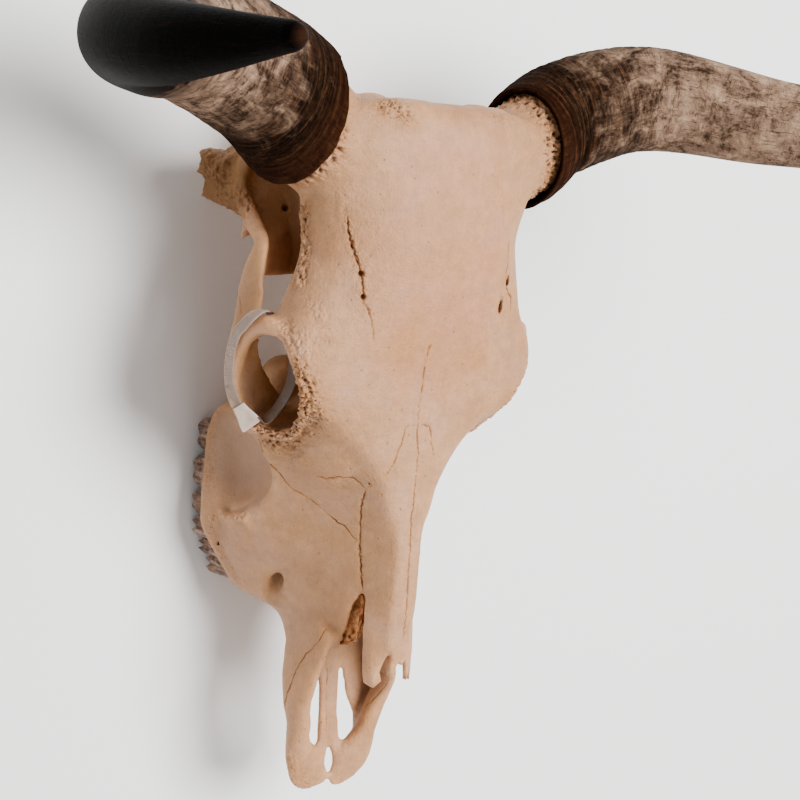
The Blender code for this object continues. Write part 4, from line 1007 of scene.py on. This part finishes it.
def sheath_mesh(word):
    """A horn sheath with its growth ridges and frayed rim, hollow up to where it is solid."""
    outer = horn_path(word, 1.0, 0.0, OUTER_RINGS)
    tip, radius, share = outer[-1]
    along = (tip - outer[-2][0]).normalized()
    for far, part in ((0.25, 0.97), (0.5, 0.88), (0.7, 0.74), (0.85, 0.55), (0.95, 0.3)):
        outer.append((tip + along * radius * far, radius * part, share))
    inner = horn_path(word, HOLLOW_END, SHEATH_WALL, INNER_RINGS)
    last = inner[-1]
    inner.append((last[0] + (last[0] - inner[-2][0]) * 0.6, last[1] * 0.4, last[2]))
    rings = horn_rings(inner, SHEATH_SIDES, word)[::-1]
    rings += horn_rings(outer, SHEATH_SIDES, word, growth(word))
    for k, angle in enumerate(round_angles(SHEATH_SIDES)):
        fray = 1.1 * noise.noise(Vector((math.cos(angle) * 5, math.sin(angle) * 5, SIDES[word] * 9)))
        for i, part in ((0, 1.0), (1, 0.6), (2, 0.3), (-1, 0.8), (-2, 0.4)):
            ring = rings[len(inner) + i]
            onward = Vector(rings[len(inner) + 4][k]) - Vector(rings[len(inner)][k])
            ring[k] = tuple(Vector(ring[k]) + onward.normalized() * (1.0 + fray) * part)
    bm = loft_mesh(rings)
    bm.verts.ensure_lookup_table()
    straight = bm.verts.layers.float_vector.new("straight")
    tone = bm.verts.layers.float.new("tone")
    inside = bm.verts.layers.float.new("inside")
    path = inner[::-1] + outer
    for i, (_, radius, share) in enumerate(path):
        for k, angle in enumerate(round_angles(SHEATH_SIDES)):
            v = bm.verts[i * SHEATH_SIDES + k]
            v[straight] = Vector((radius * math.cos(angle), radius * math.sin(angle),
                                  share * HORN_LENGTH + 900 * (word == "left"))) * MM
            v[tone] = tone_at(word, share) + 0.06 * max(0, i - len(path) + 4)
            v[inside] = 1.0 if i < len(inner) else 0.0
    return bm


def tooth_piece(side, front, back, width, outer):
    """A cheek tooth: ribbed outer wall, lobed inner wall, pointed cusps and a worn hollow."""
    middle = (front + back) / 2
    half = (back - front) / 2
    centre_x = outer - width / 2
    lobes = 2 if back - front > MOLAR_LENGTH else 1

    def spot(angle, spread, level):
        c, s = math.cos(angle), math.sin(angle)
        x = width / 2 * math.copysign(abs(c) ** 0.62, c)
        y = half * math.copysign(abs(s) ** 0.72, s)
        along = (y + half) / (2 * half)
        rib = math.cos(2 * math.pi * lobes * along)
        fine = math.cos(6 * math.pi * lobes * along)
        x += (0.75 * rib - 1.0 + 0.3 * fine) * max(0.0, c) ** 0.5 - (0.9 * rib - 0.5) * max(0.0, -c) ** 0.5
        x = max(x, -width / 2)
        x, y = x * spread, y * spread
        share = (x + width / 2) / width
        cusp = abs((CUSPS * along) % 1.0 - 0.5) * 2
        worn = OCCLUSAL_Z + 5.5 * (1 - share) + 7.5 * cusp ** 0.8 * share
        rough = noise.noise(Vector((x, middle + y, 5 * level)) * 0.4)
        z = TOOTH_ROOT_Z + (worn - TOOTH_ROOT_Z) * level
        return ((centre_x + x + 0.25 * rough * spread) * side, middle + y, z)

    rings = []
    for level, spread in ((0, 0.95), (0.2, 0.985), (0.4, 0.99), (0.6, 0.98), (0.75, 0.97), (0.88, 0.95),
                          (0.96, 0.93), (1.0, 0.9)):
        rings.append([spot(angle, spread, level) for angle in round_angles(TOOTH_SIDES)])
    for spread, dip in ((0.78, 0.6), (0.6, 2.0), (0.4, 3.0), (0.2, 2.2)):
        worn = [spot(angle, spread, 1.0) for angle in round_angles(TOOTH_SIDES)]
        rings.append([(x, y, z + dip) for x, y, z in worn])
    return loft_mesh(rings)


def tie_mesh():
    """The strap with its fine cross ribs, and the block it locks in."""
    per_span = 34
    centres = smooth_curve([p[:3] for p in TIE_LOOP], per_span, True)
    widths = smooth_curve([p[3:] for p in TIE_LOOP], per_span, True)
    count = len(centres)
    rings = []
    for i in range(count):
        along = (centres[(i + 1) % count] - centres[i - 1]).normalized()
        rib = 1.0 if i % 4 in (0, 1) else 0.5
        section = [(1, 0.7), (0.95, 1), (0.76, 1), (0.7, rib), (-0.7, rib), (-0.76, 1), (-0.95, 1),
                   (-1, 0.7), (-1, -0.7), (-0.95, -1), (0.95, -1), (1, -0.7)]
        rings.append(across_strap(centres[i], widths[i], along, TIE_WIDTH / 2, TIE_THICKNESS / 2, section))
    bm = bmesh.new()
    ring_rows(bm, rings, True)
    bmesh.ops.recalc_face_normals(bm, faces=bm.faces[:])

    along = (Vector(TIE_HEAD[-1][:3]) - Vector(TIE_HEAD[0][:3])).normalized()
    wide = Vector(TIE_HEAD_ACROSS)
    section = [(1, 0.75), (0.97, 0.93), (0.9, 1), (-0.9, 1), (-0.97, 0.93), (-1, 0.75), (-1, -0.75),
               (-0.97, -0.93), (-0.9, -1), (0.9, -1), (0.97, -0.93), (1, -0.75)]
    places = smooth_curve([p[:3] for p in TIE_HEAD], 4)
    sizes = smooth_curve([(p[3], p[4], 0) for p in TIE_HEAD], 4)
    rings = []
    for place, size in zip(places, sizes):
        rings.append(across_strap(place, wide, along, size.x, size.y, section))
    for step, part in ((0.35, 0.94), (0.6, 0.8)):
        rings.append(across_strap(places[-1] + along * step, wide, along, sizes[-1].x * part,
                                  sizes[-1].y * part, section))
    parts = [bm, loft_mesh(rings)]
    for part, share in zip(parts, (0.0, 1.0)):
        block = part.verts.layers.float.new("block")
        strap_shade = part.verts.layers.float.new("strap_shade")
        for v in part.verts:
            v[block] = share
            # painted shade on the strap where it runs inside the eye socket
            v[strap_shade] = (1 - share) * eased((v.co.x / MM + STRAP_SHADE_FROM) / 9)
    return joined(parts)


def turbinate_mesh():
    """Torn scrolls of paper-thin bone inside the right side of the nose."""
    bm = bmesh.new()
    rows, columns = 26, 18
    for sheet in range(7):
        grid = []
        for i in range(rows):
            row = []
            for k in range(columns):
                a, b = i / (rows - 1), k / (columns - 1)
                place = Vector((-6 - 1.6 * sheet - 9 * b + 2.5 * math.sin(3.1 * b + sheet),
                                -344 - 50 * a * (0.8 + 0.05 * sheet), -40 - 10 * a - 34 * b))
                sway = noise.noise_vector(place * 0.11 + Vector((sheet * 7, 0, 0))) * 3.4
                sway += noise.noise_vector(place * 0.4) * 1.3
                row.append(bm.verts.new((place + sway) * MM))
            grid.append(row)
        for i in range(rows - 1):
            for k in range(columns - 1):
                torn = noise.noise(Vector((i * 0.33, k * 0.33, sheet * 5.0)))
                if torn < 0.34 and (i < rows - 8 or torn < (rows - i) * 0.05 - 0.18):
                    bm.faces.new((grid[i][k], grid[i + 1][k], grid[i + 1][k + 1], grid[i][k + 1]))
    bmesh.ops.delete(bm, geom=[v for v in bm.verts if not v.link_faces], context="VERTS")
    bmesh.ops.solidify(bm, geom=bm.faces[:], thickness=0.5 * MM)
    bmesh.ops.recalc_face_normals(bm, faces=bm.faces[:])
    return bm


def finished(name, bm, look, nodes, sharp=None):
    """A finished piece in the world's frame, riding on the skull in place of its CAD nodes."""
    bm.transform(TO_WORLD)
    mesh = bpy.data.meshes.new(name)
    bm.to_mesh(mesh)
    bm.free()
    obj = bpy.data.objects.new(name, mesh)
    bpy.context.scene.collection.objects.link(obj)
    mesh.materials.append(look)
    mesh.shade_smooth()
    if sharp:
        mesh.set_sharp_from_angle(angle=math.radians(sharp))
    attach(obj, "root")
    if nodes:
        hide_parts(*nodes)


def linear(text):
    """A hex colour as seen on a screen, in linear light."""
    parts = [int(text[i:i + 2], 16) / 255 for i in (0, 2, 4)]
    return tuple(p / 12.92 if p < 0.04045 else ((p + 0.055) / 1.055) ** 2.4 for p in parts) + (1.0,)


def add(tree, kind, inputs=None, stops=None, output=0, **settings):
    """Adds a node. Its inputs are values or other nodes' outputs, and stops are a ramp's."""
    made = tree.nodes.new(kind)
    for name, value in settings.items():
        setattr(made, name, value)
    if stops:
        elements = made.color_ramp.elements
        for element, (position, colour) in zip(elements, (stops[0], stops[-1])):
            element.position = position
            element.color = linear(colour)
        for position, colour in stops[1:-1]:
            elements.new(position).color = linear(colour)
    for name, value in (inputs or {}).items():
        if isinstance(value, bpy.types.NodeSocket):
            tree.links.new(value, made.inputs[name])
        else:
            made.inputs[name].default_value = value
    return made.outputs[output]


def noise_at(tree, place, scale, detail, roughness=0.5, distortion=0.0):
    """Noise of this scale and fineness."""
    return add(tree, "ShaderNodeTexNoise", {"Vector": place, "Scale": scale, "Detail": detail,
                                            "Roughness": roughness, "Distortion": distortion})


def stretched(tree, value, low, high, first=0.0, last=1.0):
    """The value, with low to high drawn out from first to last, and held there beyond."""
    return add(tree, "ShaderNodeMapRange", {"Value": value, "From Min": low, "From Max": high,
                                            "To Min": first, "To Max": last})


def times(tree, value, factor, more=0.0):
    """The value times the factor, with something more added."""
    return add(tree, "ShaderNodeMath", {0: value, 1: factor, 2: more}, operation="MULTIPLY_ADD")


def mixed(tree, share, colour, other):
    """The colour with a share of another one, which is hex text or a node's output."""
    other = linear(other) if isinstance(other, str) else other
    return add(tree, "ShaderNodeMixRGB", {"Fac": share, "Color1": colour, "Color2": other})


def ramp(tree, value, *stops):
    """The value as a colour, along stops of (position, hex text)."""
    return add(tree, "ShaderNodeValToRGB", {"Fac": value}, stops)


def mark(tree, name, output="Fac"):
    """What the piece's mesh holds under this name."""
    return add(tree, "ShaderNodeAttribute", output=output, attribute_name=name)


def coloured(name, roughness):
    """A new material with its node tree and its shader."""
    made = bpy.data.materials.new(name)
    made.use_nodes = True
    tree = made.node_tree
    shader = tree.nodes["Principled BSDF"]
    shader.inputs["Roughness"].default_value = roughness
    return made, tree, shader


def dress(tree, shader, colour, height=None, strength=0.0, distance=0.0):
    """Gives the shader its colour, and its bumps where there are any."""
    tree.links.new(colour, shader.inputs["Base Color"])
    if height is not None:
        bump = add(tree, "ShaderNodeBump", {"Height": height, "Strength": strength, "Distance": distance})
        tree.links.new(bump, shader.inputs["Normal"])


def dry_bone():
    """Weathered cattle bone: chalky cream, rosy on the forehead and tan elsewhere, with faint
    fibres along the skull and rust-brown cracks and pores; with warm painted shade in its hollows,
    grey painted shade in the cheek's hollow, and painted shade in creases and painted highlights on edges."""
    made, tree, shader = coloured("dry_bone", 0.6)
    place = add(tree, "ShaderNodeTexCoord", output="Object")
    crack, pit, painted_shade, cheek_shade, rough, rosy, rim = (mark(tree, name) for name in BONE_MARKS)

    clouds = noise_at(tree, place, 17, 5, 0.6)
    tan = ramp(tree, clouds, (0.32, "a8744a"), (0.45, "b28056"), (0.56, "bb8961"), (0.7, "b58257"))
    pink = ramp(tree, clouds, (0.32, "b0784c"), (0.5, "b97f59"), (0.7, "b3794a"))
    wander = stretched(tree, clouds, 0.3, 0.7, -0.35, 0.35)
    share = add(tree, "ShaderNodeMath", {0: rosy, 1: wander}, operation="ADD", use_clamp=True)
    colour = mixed(tree, share, tan, pink)
    stains = noise_at(tree, place, 26, 6, 0.62, 0.6)
    colour = mixed(tree, stretched(tree, stains, 0.48, 0.68, 0.0, 0.5), colour, "b07c48")
    colour = mixed(tree, stretched(tree, stains, 0.46, 0.3, 0.0, 0.3), colour, "a88573")

    # fine unevenness: mottle, grain and fibres, with painted shade in hollows and a painted highlight on
    # edges, from the curvature
    mottle = noise_at(tree, place, 130, 6, 0.7)
    grain = noise_at(tree, place, 600, 4, 0.65)
    fibres = add(tree, "ShaderNodeMapping", {"Vector": place, "Scale": (420, 45, 420)})
    fibre = noise_at(tree, fibres, 1.0, 3)
    light = stretched(tree, rim, -0.8, 0.8, 0.5, 1.24)
    for value, low, high in ((mottle, 0.84, 1.1), (grain, 0.92, 1.06), (fibre, 0.96, 1.03)):
        light = times(tree, light, stretched(tree, value, 0.3, 0.7, low, high))
    colour = add(tree, "ShaderNodeMixRGB", {"Fac": 1.0, "Color1": colour, "Color2": light},
                 blend_type="MULTIPLY")

    # worn bone, then painted shade: grey in the cheek's hollow and warm brown in the other hollows
    patches = noise_at(tree, place, 75, 5, 0.65)
    worn = times(tree, rough, stretched(tree, patches, 0.42, 0.62))
    for where, most, stain_or_shade in ((worn, 0.34, "a06a38"), (cheek_shade, 0.55, "80614c"), (painted_shade, 0.93, "7a4e18")):
        colour = mixed(tree, times(tree, where, most), colour, stain_or_shade)

    # specks, fine pores, pits and cracks
    scattered = add(tree, "ShaderNodeTexVoronoi", {"Vector": place, "Scale": 95, "Randomness": 1.0})
    speck = stretched(tree, scattered, 0.1, 0.05, 0.0, 0.55)
    colour = mixed(tree, speck, colour, "8a5a30")
    cells = add(tree, "ShaderNodeTexVoronoi", {"Vector": place, "Scale": 420, "Randomness": 1.0})
    sizes = times(tree, stretched(tree, mottle, 0.4, 0.7, 0.0, 0.4), rough)
    hole = add(tree, "ShaderNodeMath", {0: sizes, 1: cells}, operation="SUBTRACT")
    hole = stretched(tree, hole, -0.06, 0.06)
    colour = mixed(tree, hole, colour, "5a3213")
    for where, low, high, *stops in (
            (pit, 0.15, 0.75, (0.0, "b78457"), (0.45, "9a632f"), (0.8, "6e3f19"), (1.0, "46250e")),
            (crack, 0.03, 0.5, (0.0, "b37d4a"), (0.4, "925a26"), (0.75, "643712"), (1.0, "2c1406"))):
        stain = ramp(tree, where, *stops)
        colour = mixed(tree, stretched(tree, where, low, high), colour, stain)

    lumpy = noise_at(tree, place, 280, 5, 0.65)
    height = times(tree, lumpy, 0.9, times(tree, mottle, 0.8))
    height = times(tree, height, times(tree, rough, 0.9, 0.42))
    for value, part in ((grain, 0.22), (fibre, 0.12), (hole, -0.5), (speck, -0.5)):
        height = times(tree, value, part, height)
    dress(tree, shader, colour, height, 1.0, 0.0014)
    return made


def cattle_horn():
    """Cattle horn: dark brown and finely ringed at the base, streaked grey and tan and
    scratched along its middle, and polished near-black towards the tip."""
    made, tree, shader = coloured("cattle_horn", 0.5)
    straight = mark(tree, "straight", "Vector")
    tone = mark(tree, "tone")
    inside = mark(tree, "inside")
    looks = {}
    for name, scale, detail, bent in (
            ("ring", (18, 18, 320), 6, 0.6), ("fine_ring", (60, 60, 900), 5, 0.5),
            ("band", (22, 22, 52), 8, 0.7), ("streak", (200, 200, 30), 7, 0.9),
            ("blotch", (48, 48, 40), 8, 0.8), ("fibre", (900, 900, 60), 3, 0.2),
            ("scratch", (480, 480, 40), 3, 1.4), ("nick", (110, 110, 480), 3, 1.6),
            ("flake", (210, 210, 210), 6, 0.8)):
        scaled = add(tree, "ShaderNodeMapping", {"Vector": straight, "Scale": scale})
        looks[name] = noise_at(tree, scaled, 1.0, detail, 0.7, bent)

    # the ringed base and the blotched middle
    ringed = times(tree, looks["ring"], 0.5)
    for name in ("fine_ring", "flake"):
        ringed = times(tree, looks[name], 0.25, ringed)
    base = ramp(tree, ringed, (0.4, "060302"), (0.46, "150c07"), (0.52, "2a1a10"), (0.58, "442c1c"),
                (0.68, "6b4a30"))
    blend = times(tree, looks["streak"], 0.1)
    for name, part in (("blotch", 0.4), ("band", 0.24), ("ring", 0.08), ("flake", 0.18)):
        blend = times(tree, looks[name], part, blend)
    middle = ramp(tree, blend, (0.4, "17100b"), (0.445, "3d2d23"), (0.485, "665142"), (0.525, "826754"),
                  (0.6, "a98d73"))
    wander = stretched(tree, looks["blotch"], 0.3, 0.7, -0.1, 0.1)
    reach = add(tree, "ShaderNodeMath", {0: tone, 1: wander}, operation="ADD")
    colour = mixed(tree, stretched(tree, reach, 0.1, 0.34), base, middle)

    # the crumbling rim, and scratches and nicks
    frayed = times(tree, stretched(tree, tone, 0.0, 0.05, 1.0, 0.0), looks["flake"])
    colour = mixed(tree, frayed, colour, "3a1c0e")
    scratched = stretched(tree, looks["scratch"], 0.6, 0.64)
    nicked = stretched(tree, looks["nick"], 0.62, 0.66)
    cuts = add(tree, "ShaderNodeMath", {0: scratched, 1: nicked}, operation="MAXIMUM")
    colour = mixed(tree, times(tree, cuts, 0.65), colour, "27180f")

    # the dark tip with its worn end, and the inside
    tip = ramp(tree, looks["streak"], (0.35, "030202"), (0.6, "060403"), (0.72, "170e09"))
    colour = mixed(tree, stretched(tree, reach, 0.5, 0.6), colour, tip)
    colour = mixed(tree, stretched(tree, tone, 1.0, 1.2, 0.0, 0.6), colour, "3a2315")
    colour = mixed(tree, inside, colour, "150c07")

    shader.inputs["Specular IOR Level"].default_value = 0.01
    polish = stretched(tree, reach, 0.1, 0.62, 0.7, 0.5)
    tree.links.new(polish, shader.inputs["Roughness"])
    height = times(tree, ringed, stretched(tree, reach, 0.1, 0.4, 1.3, 0.1))
    for value, part in ((looks["fibre"], 0.12), (blend, 0.4), (cuts, -0.12), (frayed, 1.6)):
        height = times(tree, value, part, height)
    dress(tree, shader, colour, height, 1.0, 0.0028)
    return made


def tooth_enamel():
    """Cattle tooth: cream enamel in upright folds, with brown cement and tartar between them."""
    made, tree, shader = coloured("tooth_enamel", 0.38)
    place = add(tree, "ShaderNodeTexCoord", output="Object")
    folds = add(tree, "ShaderNodeMapping", {"Vector": place, "Scale": (420, 420, 45)})
    fold = noise_at(tree, folds, 1.0, 4, 0.6)
    spots = noise_at(tree, place, 190, 5, 0.65)
    both = times(tree, fold, 0.5, times(tree, spots, 0.5))
    colour = ramp(tree, both, (0.38, "1e100a"), (0.45, "573b2c"), (0.53, "8a6b56"), (0.64, "b89c84"))
    dress(tree, shader, colour, fold, 0.8, 0.0016)
    return made


def clear_nylon():
    """Natural nylon: milky, slightly see-through, with faint mould flow, and brown painted shade where the
    strap runs in the eye socket.
    """
    made, tree, shader = coloured("clear_nylon", 0.34)
    place = add(tree, "ShaderNodeTexCoord", output="Object")
    haze = noise_at(tree, place, 120, 3)
    # the strap's painted shade, brown, inside the eye socket
    colour = mixed(tree, mark(tree, "strap_shade"), ramp(tree, haze, (0.35, "b5a091"), (0.65, "c9b4a4")), "7d5f48")
    tree.links.new(stretched(tree, haze, 0.3, 0.7, 0.26, 0.42), shader.inputs["Roughness"])
    clear = stretched(tree, mark(tree, "block"), 0.0, 1.0, 0.6, 0.1)
    tree.links.new(clear, shader.inputs["Transmission Weight"])
    shader.inputs["Subsurface Weight"].default_value = 0.2
    shader.inputs["Subsurface Scale"].default_value = 0.002
    dress(tree, shader, colour, haze, 0.15, 0.0004)
    return made


def spongy_bone():
    """The thin inner bone of the nose: brittle, rust-orange and full of small holes."""
    made, tree, shader = coloured("spongy_bone", 0.7)
    place = add(tree, "ShaderNodeTexCoord", output="Object")
    spots = noise_at(tree, place, 320, 6, 0.7)
    colour = ramp(tree, spots, (0.34, "8a4a1c"), (0.44, "b86f34"), (0.56, "cc8a4e"), (0.7, "d9a470"))
    dress(tree, shader, colour, spots, 0.8, 0.0015)
    return made


def pale_floor():
    """A matt off-white studio floor with a barely visible tone."""
    made, tree, shader = coloured("pale_floor", 0.85)
    place = add(tree, "ShaderNodeTexCoord", output="Object")
    tone = noise_at(tree, place, 1.5, 2)
    dress(tree, shader, ramp(tree, tone, (0.3, "f3f2f0"), (0.7, "f6f5f4")))
    return made


def stage():
    """The floor, the lights and the photograph's camera."""
    bpy.ops.mesh.primitive_plane_add(size=FLOOR_SIZE)
    floor = bpy.context.object
    floor.name = "floor"
    floor.data.materials.append(pale_floor())

    for name, (place, size, power) in LIGHTS.items():
        lamp = bpy.data.lights.new(name, "AREA")
        lamp.shape = "DISK"
        lamp.size = size
        lamp.energy = power
        holder = bpy.data.objects.new(name, lamp)
        holder.location = place
        way = Vector(LIT_POINT) - Vector(place)
        holder.rotation_euler = way.to_track_quat("-Z", "Y").to_euler()
        bpy.context.scene.collection.objects.link(holder)
    world = bpy.data.worlds.new("studio")
    world.use_nodes = True
    sky = world.node_tree.nodes["Background"].inputs
    sky["Color"].default_value = (1, 1, 1, 1)
    sky["Strength"].default_value = WORLD_LIGHT
    bpy.context.scene.world = world

    camera = bpy.data.cameras.new("camera")
    camera.sensor_width = 36.0
    camera.lens = CAMERA_LENS
    holder = bpy.data.objects.new("camera", camera)
    turn = Vector(CAMERA_TURN)
    away = Matrix.Rotation(turn.length, 3, turn.normalized())
    holder.matrix_world = Matrix.Translation(CAMERA_PLACE) @ away.transposed().to_4x4()
    bpy.context.scene.collection.objects.link(holder)
    bpy.context.scene.camera = holder


def main():
    """Every piece, the bone first, and then the studio."""
    noise.seed_set(NOISE_SEED)
    bone = fused_bone()
    bmesh.ops.triangulate(bone, faces=bone.faces[:])
    sculpt(bone)
    finished("skull_bone", thinned(bone), dry_bone(), ["skull"])

    horn = cattle_horn()
    for word in SIDES:
        finished(f"sheath_{word}", sheath_mesh(word), horn, [f"horn_sheath_{word}"])
    enamel = tooth_enamel()
    for word, side in SIDES.items():
        for name, front, back, width, outer in tooth_places():
            finished(f"cheek_tooth_{word}_{name}", tooth_piece(side, front, back, width, outer), enamel,
                     [f"tooth_{word}_{name}"], SHARP_ANGLE)
    finished("tie_strap", tie_mesh(), clear_nylon(), ["cable_tie"], SHARP_ANGLE)
    finished("turbinates", turbinate_mesh(), spongy_bone(), [])
    stage()


main()
